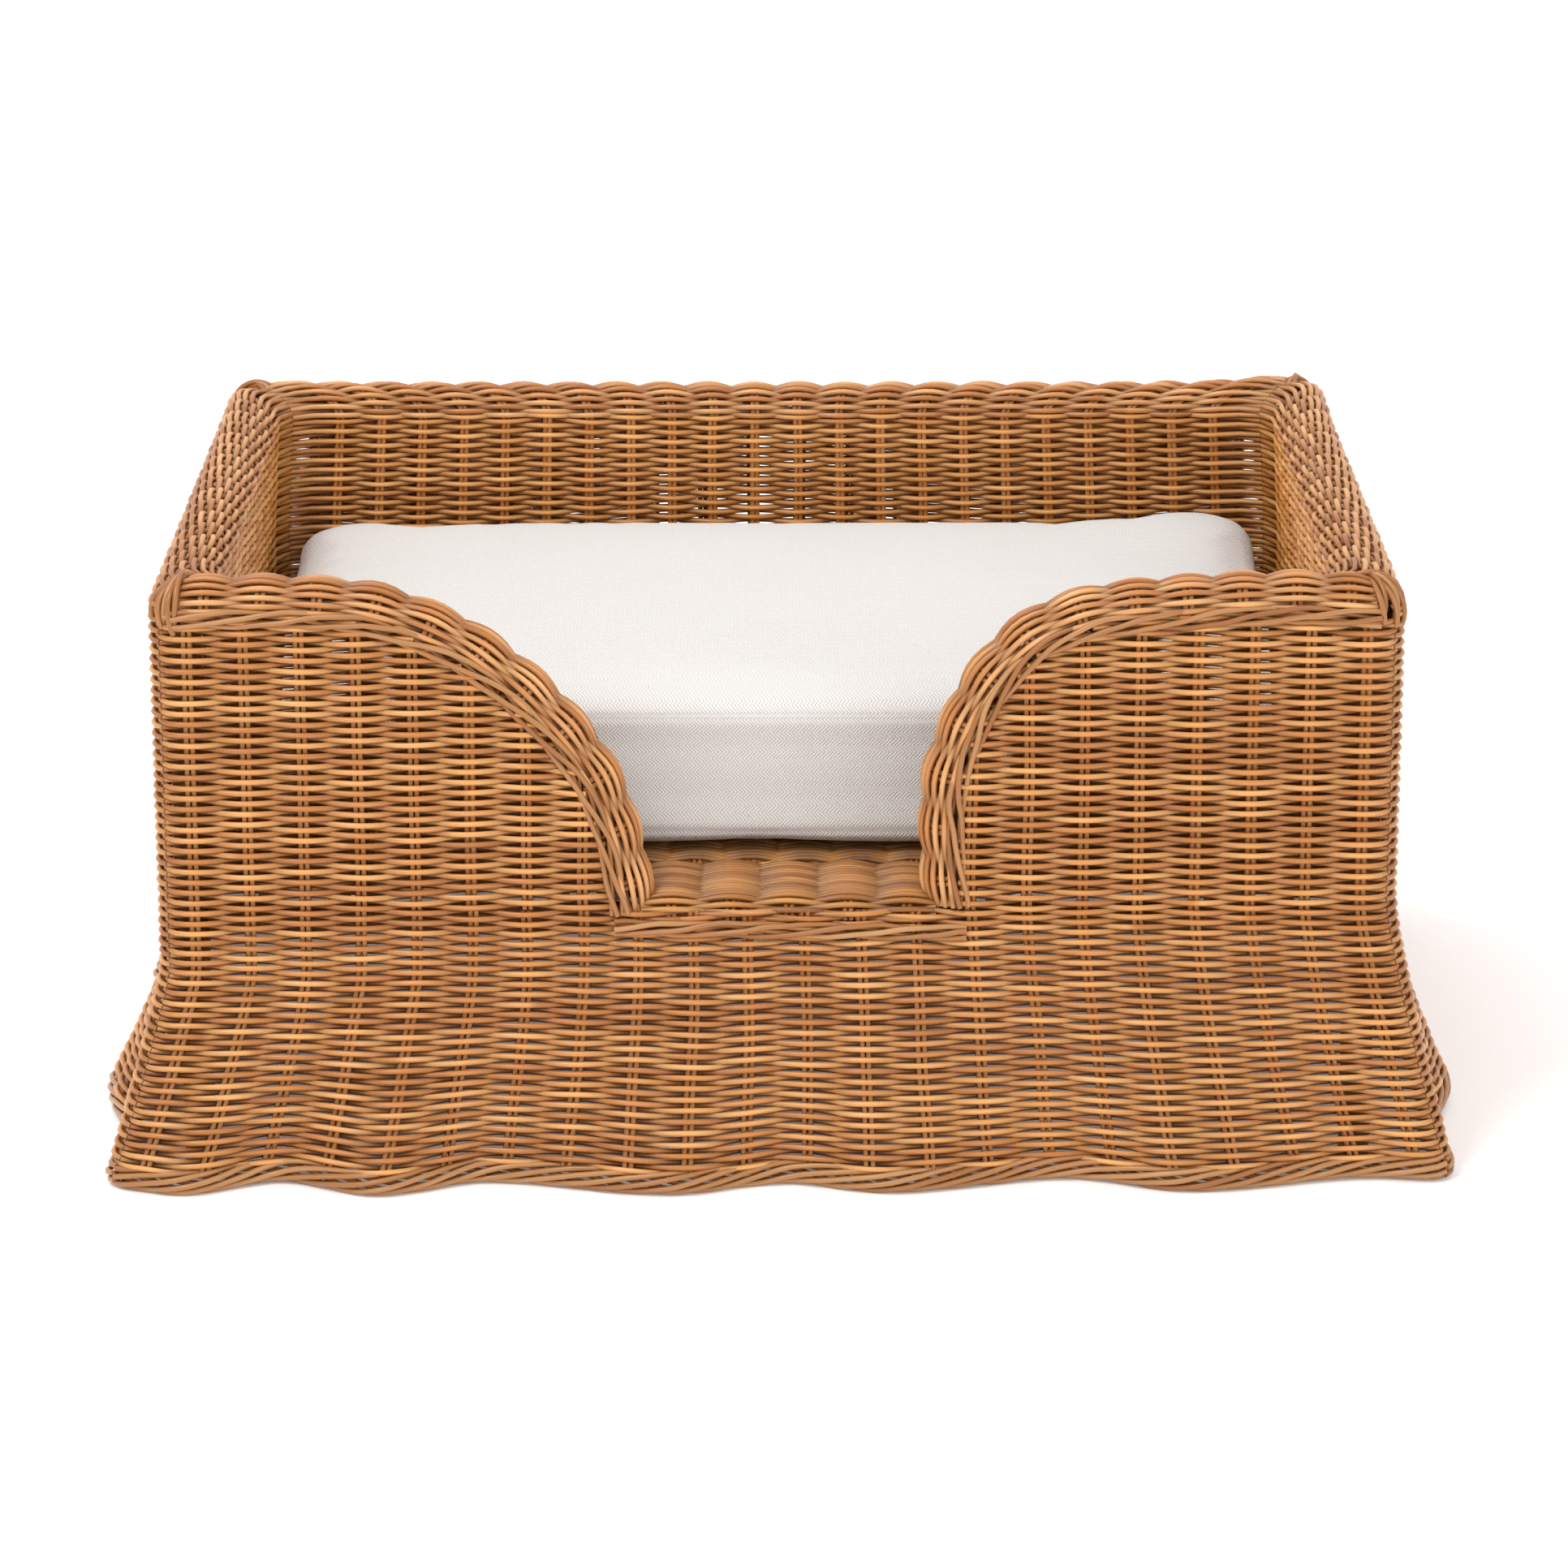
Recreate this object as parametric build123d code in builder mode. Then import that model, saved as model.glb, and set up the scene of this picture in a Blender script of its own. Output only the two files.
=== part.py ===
"""Pet bed basket: a rattan pole frame clad in woven walls and a flared skirt, with a loose boxed cushion.

Millimetres. +Z is up, +X runs along the long side, the entry faces -Y, and the origin is the centre of
the foot plane. A wall is a sandwich: the outer woven skin, a gap that holds the frame's poles, and the
woven liner, closed at the top by a woven rim.
"""
import os

from build123d import *

os.makedirs("parts", exist_ok=True)

# The bed's outside
BED_LENGTH = 700
BED_DEPTH = 510
BED_HEIGHT = 350
FLARE = 44            # how far the hem stands out past the walls

# Levels
DECK_TOP = 165
DECK_THICKNESS = 8
RIM_TOP = 348
HEM_HEIGHT = 14

# The wall's layers
WALL = 38
SKIN = 9
LINER = 8
RIM_THICKNESS = 10

# The frame
POLE = 18
SLAT = 12
SLAT_COUNT = 5
SLAT_SPACING = 125
NAIL = 2.2
NAIL_LENGTH = 34
NAIL_OFFSET = 3       # nails that cross in one post pass above and below the rail's axis

# The entry's outline, right wall and left wall, in X and Z, from the rim down to the waist
ENTRY_LEFT = [(-312, 348), (-240, 346), (-161, 317), (-90, 240), (-68, 157)]
ENTRY_RIGHT = [(312, 348), (206, 346), (136, 327), (92, 270), (80, 200), (82, 157)]

HOOP_LEFT = [(-236, 329), (-118, 246), (-92, 160)]
HOOP_RIGHT = [(205, 329), (112, 258), (104, 160)]
HOOP_BENDS = [90, 100]
SILL_GAP = 0.3        # between the sill and the entry's upright edges

# The cushion
CUSHION_LENGTH = 622
CUSHION_DEPTH = 383
CUSHION_THICKNESS = 88
CUSHION_FRONT = -176
CUSHION_UNDERSIDE = 167
COVER_THICKNESS = 1.5
CORNER_RADIUS = 34
SEAM_RADIUS = 12

# The cushion's zip, along the middle of its back
TAPE_LENGTH = 520
TAPE_HEIGHT = 30
TAPE_THICKNESS = 1
COIL_HEIGHT = 6
COIL_THICKNESS = 1.6
ZIP_LEVEL = 211
ZIP_GAP = 0.3
SLIDER_LENGTH = 12
SLIDER_HEIGHT = 10
SLIDER_THICKNESS = 3.7
PULL_LENGTH = 26
PULL_HEIGHT = 7
PULL_THICKNESS = 1.4

half_length = BED_LENGTH / 2
half_depth = BED_DEPTH / 2
inner_length = half_length - WALL
inner_depth = half_depth - WALL
waist = DECK_TOP - DECK_THICKNESS
wall_top = RIM_TOP - RIM_THICKNESS
pole_x = half_length - SKIN - POLE / 2 - 1
pole_y = half_depth - SKIN - POLE / 2 - 1
top_rail_level = wall_top - POLE / 2
deck_rail_level = waist - POLE / 2
SIDES = {"left": -1, "right": 1}
ENDS = {"front": -1, "back": 1}


def keep(piece, name):
    """Labels a finished piece and writes its STEP file."""
    piece.part.label = name
    export_step(piece.part, f"parts/{name}.step")


def nails_along_x(x_side, y_side, mode=Mode.ADD):
    """The nails through one corner post into the ends of the rails that run along X."""
    middle = x_side * (pole_x + POLE / 2 - NAIL_LENGTH / 2 - 1)
    levels = (deck_rail_level + NAIL_OFFSET, top_rail_level + NAIL_OFFSET)
    with Locations(*[(middle, y_side * pole_y, level) for level in levels]):
        Cylinder(NAIL / 2, NAIL_LENGTH, rotation=(0, 90, 0), mode=mode)


def nails_along_y(x_side, y_side, mode=Mode.ADD):
    """The nails through one corner post into the ends of the rails that run along Y."""
    middle = y_side * (pole_y + POLE / 2 - NAIL_LENGTH / 2 - 1)
    levels = (deck_rail_level - NAIL_OFFSET, top_rail_level - NAIL_OFFSET)
    with Locations(*[(x_side * pole_x, middle, level) for level in levels]):
        Cylinder(NAIL / 2, NAIL_LENGTH, rotation=(90, 0, 0), mode=mode)


def side_of(points):
    """-1 for the outline of the left wall, 1 for the right wall's."""
    return -1 if points[0][0] < 0 else 1


def entry_ends(points):
    """The outline's directions at its ends: level at the rim, upright at the waist."""
    return [(-side_of(points), 0), (0, -1)]


def moved_inward(points, inset):
    """The entry's outline moved a distance into the wall."""
    outline = Spline(*points, tangents=entry_ends(points))
    inward = -side_of(points)
    moved = []
    for step in range(11):
        at = outline @ (step / 10)
        along = outline % (step / 10)
        moved.append((at.X + inward * inset * along.Y, at.Y - inward * inset * along.X))
    return moved


# ---- Corner posts: straight rattan poles from the floor to the rim ----
for side, x_side in SIDES.items():
    for end, y_side in ENDS.items():
        with BuildPart() as corner_post:
            with BuildSketch(Plane.XY):
                with Locations((x_side * pole_x, y_side * pole_y)):
                    Circle(POLE / 2)
            extrude(amount=wall_top)
            nails_along_x(x_side, y_side, mode=Mode.SUBTRACT)
            nails_along_y(x_side, y_side, mode=Mode.SUBTRACT)
        keep(corner_post, f"corner_post_{end}_{side}")

# ---- Rails along Y: one pair under the deck, one pair under the rims ----
rail_span_y = 2 * pole_y - POLE
for side, x_side in SIDES.items():
    for name, level in (("deck_rail", deck_rail_level), ("top_rail", top_rail_level)):
        with BuildPart() as rail_y:
            with BuildSketch(Plane.XZ.offset(-rail_span_y / 2)):
                with Locations((x_side * pole_x, level)):
                    Circle(POLE / 2)
            extrude(amount=rail_span_y)
            for y_side in ENDS.values():
                nails_along_y(x_side, y_side, mode=Mode.SUBTRACT)
        keep(rail_y, f"{name}_{side}")

# ---- Rails along X: under the deck at the front and back, and under the back rim ----
rail_span_x = 2 * pole_x - POLE
rails_x = {
    "deck_rail_front": (-pole_y, deck_rail_level),
    "deck_rail_back": (pole_y, deck_rail_level),
    "top_rail_back": (pole_y, top_rail_level),
}
for name, (y, level) in rails_x.items():
    with BuildPart() as rail_x:
        with BuildSketch(Plane.YZ.offset(-rail_span_x / 2)):
            with Locations((y, level)):
                Circle(POLE / 2)
        extrude(amount=rail_span_x)
        for x_side in SIDES.values():
            nails_along_x(x_side, 1 if y > 0 else -1, mode=Mode.SUBTRACT)
    keep(rail_x, name)

# ---- Entry hoops: poles bent down from the front posts to the front deck rail ----
for side, corners in (("left", HOOP_LEFT), ("right", HOOP_RIGHT)):
    x_side = side_of(corners)
    post_face = (x_side * (pole_x - POLE / 2), top_rail_level)
    with BuildPart() as entry_hoop:
        with BuildLine(Plane.XZ.offset(pole_y)):
            bend = FilletPolyline(post_face, *corners, radius=HOOP_BENDS)
        with BuildSketch(Plane(bend @ 0, z_dir=bend % 0)):
            Circle(POLE / 2)
        sweep(path=bend)
        nails_along_x(x_side, -1, mode=Mode.SUBTRACT)
    keep(entry_hoop, f"entry_hoop_{side}")

# ---- Frame nails: every post is nailed to its rails at the deck and at the rim ----
with BuildPart() as frame_nails:
    for x_side in SIDES.values():
        for y_side in ENDS.values():
            nails_along_x(x_side, y_side)
            nails_along_y(x_side, y_side)
keep(frame_nails, "frame_nails")

# ---- Deck: cross slats between the front and back rails, and the woven deck on them ----
for number in range(SLAT_COUNT):
    slat_x = (number - (SLAT_COUNT - 1) / 2) * SLAT_SPACING
    with BuildPart() as deck_slat:
        with BuildSketch(Plane.XZ.offset(-rail_span_y / 2)):
            with Locations((slat_x, waist - SLAT / 2)):
                Circle(SLAT / 2)
        extrude(amount=rail_span_y)
    keep(deck_slat, f"deck_slat_{number + 1}")

with BuildPart() as woven_deck:
    with BuildSketch(Plane.XY.offset(waist)):
        Rectangle(2 * inner_length, 2 * inner_depth)
    extrude(amount=DECK_THICKNESS)
keep(woven_deck, "woven_deck")

# ---- Entry sill: the deck's weave rolled over the front rail, between the entry's two edges ----
sill_start = ENTRY_LEFT[-1][0] + SILL_GAP
sill_end = ENTRY_RIGHT[-1][0] - SILL_GAP
with BuildPart() as entry_sill:
    with BuildSketch(Plane.YZ.offset(sill_start)):
        with Locations((-half_depth + WALL / 2, waist + DECK_THICKNESS / 2)):
            Rectangle(WALL, DECK_THICKNESS)
    extrude(amount=sill_end - sill_start)
    front_top = entry_sill.edges().filter_by(Axis.X).group_by(Axis.Z)[-1].sort_by(Axis.Y)[0]
    fillet(front_top, 6)
keep(entry_sill, "entry_sill")

# ---- Outer skins: the upright walls from the waist to the rim ----
wall_height = wall_top - waist
for side, x_side in SIDES.items():
    with BuildPart() as skin_side:
        with BuildSketch(Plane.XY.offset(waist)):
            with Locations((x_side * (half_length - SKIN / 2), 0)):
                Rectangle(SKIN, BED_DEPTH - 2 * SKIN)
        extrude(amount=wall_height)
    keep(skin_side, f"outer_wall_{side}")

with BuildPart() as skin_back:
    with BuildSketch(Plane.XY.offset(waist)):
        with Locations((0, half_depth - SKIN / 2)):
            Rectangle(BED_LENGTH, SKIN)
    extrude(amount=wall_height)
keep(skin_back, "outer_wall_back")

for side, outline in (("left", ENTRY_LEFT), ("right", ENTRY_RIGHT)):
    x_side = side_of(outline)
    edge_points = moved_inward(outline, RIM_THICKNESS)
    with BuildPart() as skin_front:
        with BuildSketch(Plane.XZ.offset(half_depth - SKIN)):
            with BuildLine():
                edge = Spline(*edge_points, tangents=entry_ends(outline))
                Polyline(edge @ 1, (x_side * half_length, waist), (x_side * half_length, wall_top), edge @ 0)
            make_face()
        extrude(amount=SKIN)
    keep(skin_front, f"outer_wall_front_{side}")

# ---- Liners: the inner faces of the walls, down to the deck ----
for side, x_side in SIDES.items():
    with BuildPart() as liner_side:
        with BuildSketch(Plane.XY.offset(waist)):
            with Locations((x_side * (inner_length + LINER / 2), 0)):
                Rectangle(LINER, 2 * (inner_depth + LINER))
        extrude(amount=wall_height)
    keep(liner_side, f"liner_{side}")

with BuildPart() as liner_back:
    with BuildSketch(Plane.XY.offset(waist)):
        with Locations((0, inner_depth + LINER / 2)):
            Rectangle(2 * inner_length, LINER)
    extrude(amount=wall_height)
keep(liner_back, "liner_back")

for side, outline in (("left", ENTRY_LEFT), ("right", ENTRY_RIGHT)):
    x_side = side_of(outline)
    edge_points = moved_inward(outline, RIM_THICKNESS)
    with BuildPart() as liner_front:
        with BuildSketch(Plane.XZ.offset(inner_depth)):
            with BuildLine():
                edge = Spline(*edge_points, tangents=entry_ends(outline))
                Polyline(edge @ 1, (x_side * inner_length, waist), edge @ 0)
            make_face()
        extrude(amount=LINER)
    keep(liner_front, f"liner_front_{side}")

# ---- Rims: woven caps over the top rails, with a bound knot at each corner ----
for side, x_side in SIDES.items():
    with BuildPart() as rim_side:
        with BuildSketch(Plane.XZ.offset(-inner_depth)):
            with Locations((x_side * (half_length - WALL / 2), wall_top + RIM_THICKNESS / 2)):
                Rectangle(WALL, RIM_THICKNESS)
        extrude(amount=2 * inner_depth)
        fillet(rim_side.edges().filter_by(Axis.Y).group_by(Axis.Z)[-1], 8)
    keep(rim_side, f"rim_{side}")

with BuildPart() as rim_back:
    with BuildSketch(Plane.YZ.offset(-inner_length)):
        with Locations((half_depth - WALL / 2, wall_top + RIM_THICKNESS / 2)):
            Rectangle(WALL, RIM_THICKNESS)
    extrude(amount=2 * inner_length)
    fillet(rim_back.edges().filter_by(Axis.X).group_by(Axis.Z)[-1], 8)
keep(rim_back, "rim_back")

for side, outline in (("left", ENTRY_LEFT), ("right", ENTRY_RIGHT)):
    edge_points = moved_inward(outline, RIM_THICKNESS)
    with BuildPart() as entry_trim:
        with BuildSketch(Plane.XZ.offset(inner_depth)):
            with BuildLine():
                outer_edge = Spline(*outline, tangents=entry_ends(outline))
                hidden_edge = Spline(*edge_points, tangents=entry_ends(outline))
                Line(outer_edge @ 0, hidden_edge @ 0)
                Line(outer_edge @ 1, hidden_edge @ 1)
            make_face()
        extrude(amount=WALL)
    keep(entry_trim, f"entry_trim_{side}")

for side, x_side in SIDES.items():
    for end, y_side in ENDS.items():
        with BuildPart() as corner_knot:
            with BuildSketch(Plane.XY.offset(wall_top)):
                with Locations((x_side * (half_length - WALL / 2), y_side * (half_depth - WALL / 2))):
                    Rectangle(WALL, WALL)
            extrude(amount=BED_HEIGHT - wall_top)
            fillet(corner_knot.edges().group_by(Axis.Z)[-1], 6)
        keep(corner_knot, f"corner_knot_{end}_{side}")


# ---- Skirt: four flared panels below the waist, mitred at the corners, each ending in a hem ----
def ring_section(direction, flare, thickness):
    """One side of a mitred rectangular ring, seen from above, at a distance outside the walls."""
    long_x = half_length + flare
    long_y = half_depth + flare
    short_x = long_x - thickness
    short_y = long_y - thickness
    if direction in ENDS:
        turn = ENDS[direction]
        return [(-long_x, turn * long_y), (long_x, turn * long_y),
                (short_x, turn * short_y), (-short_x, turn * short_y)]
    turn = SIDES[direction]
    return [(turn * long_x, -long_y), (turn * long_x, long_y),
            (turn * short_x, short_y), (turn * short_x, -short_y)]


skirt_flare = {waist: 0, 130: 4, 95: 14, HEM_HEIGHT: FLARE - 6}
for direction in [*ENDS, *SIDES]:
    with BuildPart() as skirt:
        for level, flare in skirt_flare.items():
            with BuildSketch(Plane.XY.offset(level)):
                Polygon(*ring_section(direction, flare, SKIN), align=None)
        loft(ruled=True)
    keep(skirt, f"skirt_{direction}")

for direction in [*ENDS, *SIDES]:
    with BuildPart() as hem:
        with BuildSketch(Plane.XY):
            Polygon(*ring_section(direction, FLARE, HEM_HEIGHT), align=None)
        extrude(amount=HEM_HEIGHT)
    keep(hem, f"hem_braid_{direction}")

# ---- Cushion: a foam block in a sewn cover ----
cushion_middle = CUSHION_FRONT + CUSHION_DEPTH / 2
cushion_back = CUSHION_FRONT + CUSHION_DEPTH
with BuildPart() as cushion_foam:
    with BuildSketch(Plane.XY.offset(CUSHION_UNDERSIDE + COVER_THICKNESS)):
        with Locations((0, cushion_middle)):
            RectangleRounded(CUSHION_LENGTH - 2 * COVER_THICKNESS, CUSHION_DEPTH - 2 * COVER_THICKNESS,
                             CORNER_RADIUS - COVER_THICKNESS)
    extrude(amount=CUSHION_THICKNESS - 2 * COVER_THICKNESS)
    foam_ends = cushion_foam.edges().group_by(Axis.Z)
    fillet(foam_ends[0] + foam_ends[-1], SEAM_RADIUS - COVER_THICKNESS)
keep(cushion_foam, "cushion_foam")

with BuildPart() as cushion_cover:
    with BuildSketch(Plane.XY.offset(CUSHION_UNDERSIDE)):
        with Locations((0, cushion_middle)):
            RectangleRounded(CUSHION_LENGTH, CUSHION_DEPTH, CORNER_RADIUS)
    extrude(amount=CUSHION_THICKNESS)
    cover_ends = cushion_cover.edges().group_by(Axis.Z)
    fillet(cover_ends[0] + cover_ends[-1], SEAM_RADIUS)
    add(cushion_foam.part, mode=Mode.SUBTRACT)
keep(cushion_cover, "cushion_cover")

# ---- Zip: two tapes and a coil on the cushion's back, and a slider that closes towards +X ----
tape_face = cushion_back + TAPE_THICKNESS
with BuildPart() as zip_tape:
    with BuildSketch(Plane.XZ.offset(-tape_face)):
        with Locations((0, ZIP_LEVEL)):
            Rectangle(TAPE_LENGTH, TAPE_HEIGHT)
    extrude(amount=TAPE_THICKNESS)
keep(zip_tape, "zip_tape")

with BuildPart() as zip_coil:
    with BuildSketch(Plane.XZ.offset(-tape_face - COIL_THICKNESS)):
        with Locations((0, ZIP_LEVEL)):
            Rectangle(TAPE_LENGTH - 2 * SLIDER_LENGTH, COIL_HEIGHT)
    extrude(amount=COIL_THICKNESS)
keep(zip_coil, "zip_coil")

slider_x = TAPE_LENGTH / 2 - 2 * SLIDER_LENGTH
slider_face = tape_face + ZIP_GAP + SLIDER_THICKNESS
with BuildPart() as zip_slider:
    with BuildSketch(Plane.XZ.offset(-slider_face)):
        with Locations((slider_x, ZIP_LEVEL)):
            RectangleRounded(SLIDER_LENGTH, SLIDER_HEIGHT, 2)
    extrude(amount=SLIDER_THICKNESS)
    with BuildSketch(Plane.XZ.offset(-tape_face - COIL_THICKNESS - ZIP_GAP)):
        with Locations((slider_x, ZIP_LEVEL)):
            Rectangle(SLIDER_LENGTH, COIL_HEIGHT + 2 * ZIP_GAP)
    extrude(amount=COIL_THICKNESS, mode=Mode.SUBTRACT)
keep(zip_slider, "zip_slider")

with BuildPart() as zip_pull:
    with BuildSketch(Plane.XZ.offset(-slider_face - PULL_THICKNESS)):
        with Locations((slider_x - PULL_LENGTH / 2 + PULL_HEIGHT / 2, ZIP_LEVEL)):
            SlotOverall(PULL_LENGTH, PULL_HEIGHT)
        with Locations((slider_x - PULL_LENGTH + PULL_HEIGHT, ZIP_LEVEL)):
            Circle(PULL_HEIGHT / 4, mode=Mode.SUBTRACT)
    extrude(amount=PULL_THICKNESS)
keep(zip_pull, "zip_pull")
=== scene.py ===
"""Wicker pet bed with a loose boxed cushion: how the finished basket looks.

Everything is in metres, in the CAD model's frame: X across the front, Y towards the back, Z up.
"""

import math

import bpy
import numpy as np
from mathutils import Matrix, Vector


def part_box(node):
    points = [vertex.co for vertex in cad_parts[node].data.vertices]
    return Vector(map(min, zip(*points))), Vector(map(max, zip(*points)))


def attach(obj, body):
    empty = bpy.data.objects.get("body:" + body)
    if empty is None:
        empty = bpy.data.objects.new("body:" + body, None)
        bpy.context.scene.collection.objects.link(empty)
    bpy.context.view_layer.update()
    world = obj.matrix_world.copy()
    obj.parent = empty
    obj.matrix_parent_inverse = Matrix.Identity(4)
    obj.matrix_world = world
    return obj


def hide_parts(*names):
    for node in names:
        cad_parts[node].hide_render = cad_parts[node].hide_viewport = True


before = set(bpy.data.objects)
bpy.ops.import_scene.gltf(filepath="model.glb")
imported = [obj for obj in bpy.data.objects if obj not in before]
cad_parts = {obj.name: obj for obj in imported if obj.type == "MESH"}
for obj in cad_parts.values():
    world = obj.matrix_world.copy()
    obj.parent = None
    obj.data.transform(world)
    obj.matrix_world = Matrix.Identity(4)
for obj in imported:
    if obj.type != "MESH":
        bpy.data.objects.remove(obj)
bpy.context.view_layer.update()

# ======================================================================================
# Floor, light and camera
# A white studio sweep under one big soft light from the upper left, with a weaker one on
# the right and another above the bed, so that the strands keep their small dark gaps.
# ======================================================================================


def linear(hex_colour):
    """An sRGB hex colour as the linear RGBA that shaders take."""
    parts = [int(hex_colour[i : i + 2], 16) / 255 for i in (1, 3, 5)]
    return [c / 12.92 if c <= 0.04045 else ((c + 0.055) / 1.055) ** 2.4 for c in parts] + [1.0]


def node(tree, kind, inputs=None, **settings):
    """Adds a node to a tree, with its settings and what goes into its sockets.

    A node that goes into a socket stands for its first output.
    """
    made = tree.nodes.new(kind)
    for setting, value in settings.items():
        setattr(made, setting, value)
    for socket, value in (inputs or {}).items():
        if isinstance(value, bpy.types.Node):
            value = value.outputs[0]
        if isinstance(value, bpy.types.NodeSocket):
            tree.links.new(value, made.inputs[socket])
        else:
            made.inputs[socket].default_value = value
    return made


def blank_finish(name):
    """A new material without nodes, and its tree."""
    material = bpy.data.materials.new(name)
    material.use_nodes = True
    material.node_tree.nodes.clear()
    return material, material.node_tree


scene = bpy.context.scene
scene.view_settings.view_transform = "Standard"

floor_mesh = bpy.data.meshes.new("studio_floor")
floor_mesh.from_pydata([(-9, -9, 0), (9, -9, 0), (9, 9, 0), (-9, 9, 0)], [], [(0, 1, 2, 3)])
floor = bpy.data.objects.new("studio_floor", floor_mesh)
scene.collection.objects.link(floor)
# Seamless white backdrop paper: plain, matt and lit until it goes white.
paper, tree = blank_finish("white_backdrop_paper")
shader = node(tree, "ShaderNodeBsdfPrincipled", {
    "Base Color": linear("#FFFFFF"), "Roughness": 0.9,
    "Emission Color": linear("#FFFFFF"), "Emission Strength": 0.12,
})
node(tree, "ShaderNodeOutputMaterial", {"Surface": shader})
floor_mesh.materials.append(paper)

sky = bpy.data.worlds.new("studio_white")
sky.use_nodes = True
sky.node_tree.nodes["Background"].inputs["Color"].default_value = linear("#FFFFFF")
sky.node_tree.nodes["Background"].inputs["Strength"].default_value = 1.0
scene.world = sky

for name, place, aim, size, power in (
    ("key_upper_left", (-1.1, -1.7, 2.5), (0, 0, 0.1), 0.9, 33),
    ("fill_right", (2.0, -2.4, 1.2), (0, 0, 0.15), 1.6, 11),
    ("top", (-0.5, 0.4, 2.4), (0, 0, 0.2), 1.2, 7),
):
    lamp = bpy.data.lights.new(name, "AREA")
    lamp.shape = "DISK"
    lamp.size = size
    lamp.energy = power
    holder = bpy.data.objects.new(name, lamp)
    holder.location = place
    holder.rotation_euler = (Vector(aim) - Vector(place)).to_track_quat("-Z", "Y").to_euler()
    scene.collection.objects.link(holder)

# The camera looks down on the bed's middle from straight ahead, through a long lens.
AIM = Vector((0.0044, 0, 0.1567))
DISTANCE = 3.366
lens = bpy.data.cameras.new("camera")
lens.lens = 127.08
lens.sensor_width = 36
camera = bpy.data.objects.new("camera", lens)
raised, turned = math.radians(16.5), math.radians(-0.12)
back_off = Vector((
    math.sin(turned) * math.cos(raised),
    -math.cos(turned) * math.cos(raised),
    math.sin(raised),
))
camera.location = AIM + DISTANCE * back_off
camera.rotation_euler = back_off.to_track_quat("Z", "Y").to_euler()
scene.collection.objects.link(camera)
scene.camera = camera

# ======================================================================================
# Outer walls
# Round rattan core, soaked and woven over and under pairs of upright stakes, row on row.
# Each side's rows turn the corner and meet the next side's, so the four make one tub.
# ======================================================================================

STRAND = 0.0034  # a strand's diameter
ROW_PITCH = 0.00307  # from one row up to the next
SWING = 0.0030  # how far a row swings out and in past the stakes
PAIR = 0.0017  # half the way from one stake of a pair to the other
WEAVE = 0.009  # the weave's thickness in the CAD model
SIDE_SWELL = 0.0016  # how much the side walls swell out as they are woven
CORNER = 0.012  # the bend where the rows turn a corner
SHOULDER = 0.331  # the height where the walls end and the rim's roll starts
SKIRT_ROWS = 49  # rows below the waist, which the wall's rows carry on from

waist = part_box("skirt_front")[1].z
HALF_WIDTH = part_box("outer_wall_right")[1].x - WEAVE / 2 + SIDE_SWELL
HALF_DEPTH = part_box("outer_wall_back")[1].y - WEAVE / 2
SIDE_TURNS = {"front": 0, "right": 1, "back": 2, "left": 3}
SIDE_HALVES = {
    "front": (HALF_WIDTH, HALF_DEPTH),
    "right": (HALF_DEPTH, HALF_WIDTH),
    "back": (HALF_WIDTH, HALF_DEPTH),
    "left": (HALF_DEPTH, HALF_WIDTH),
}
SIDE_STAKES = {"front": 22, "right": 16, "back": 22, "left": 16}


def side_length(side):
    """A side's length along its rows, with half of each corner's bend."""
    return 2 * (SIDE_HALVES[side][0] - CORNER) + CORNER * math.pi / 2


def on_side(side, u, out, ahead=0.0, behind=0.0, bend=CORNER):
    """Plan position at u (0 to 1) along a side that stands out from the wall's line.

    ahead and behind are how far out the next and last sides stand, where they meet this one.
    """
    half, depth = SIDE_HALVES[side]
    run = u * side_length(side) - CORNER * math.pi / 4
    straight = 2 * (half - CORNER)
    reach = (half - bend) + np.where(u > 0.5, ahead, behind)
    along = np.clip(run / straight * 2 - 1, -1, 1) * reach
    turn = (np.clip(run - straight, 0, None) + np.clip(run, None, 0)) / CORNER
    along = along + bend * np.sin(turn)
    away = depth + out - bend + bend * np.cos(turn)
    x, y = along, -away
    for _ in range(SIDE_TURNS[side]):
        x, y = -y, x
    return x, y


def guide(name, at, columns, rows, keep=None):
    """The smooth surface that strands are laid on.

    Its UV map is the flat weave, 'out' its outer side and 'keep' is above 0 where there is weave.
    """
    u, v = np.meshgrid(np.linspace(0, 1, columns + 1), np.linspace(0, 1, rows + 1))
    place = np.stack(np.broadcast_arrays(*at(u, v)), axis=2)
    out = np.cross(np.gradient(place, axis=1), np.gradient(place, axis=0))
    out /= np.linalg.norm(out, axis=2, keepdims=True)
    kept = np.ones_like(u) if keep is None else keep(place)
    mesh = bpy.data.meshes.new(name)
    wide = columns + 1
    corner = (np.arange(rows)[:, None] * wide + np.arange(columns)[None, :]).ravel()
    faces = np.stack([corner, corner + 1, corner + wide + 1, corner + wide], axis=1)
    mesh.from_pydata(place.reshape(-1, 3).tolist(), [], faces.tolist())
    flat = np.stack([u, v], axis=2).reshape(-1, 2)
    mesh.uv_layers.new(name="UVMap").data.foreach_set("uv", flat[faces.ravel()].ravel())
    mesh.attributes.new("out", "FLOAT_VECTOR", "POINT").data.foreach_set("vector", out.ravel())
    mesh.attributes.new("keep", "FLOAT", "POINT").data.foreach_set("value", kept.ravel())
    surface = bpy.data.objects.new(name, mesh)
    scene.collection.objects.link(surface)
    return surface


def new_tree(name, sockets):
    """An empty Geometry Nodes tree with these inputs, and one output, Strands."""
    tree = bpy.data.node_groups.new(name, "GeometryNodeTree")
    for socket, kind in sockets.items():
        tree.interface.new_socket(socket, in_out="INPUT", socket_type="NodeSocket" + kind)
    tree.interface.new_socket("Strands", in_out="OUTPUT", socket_type="NodeSocketGeometry")
    return tree


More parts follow.
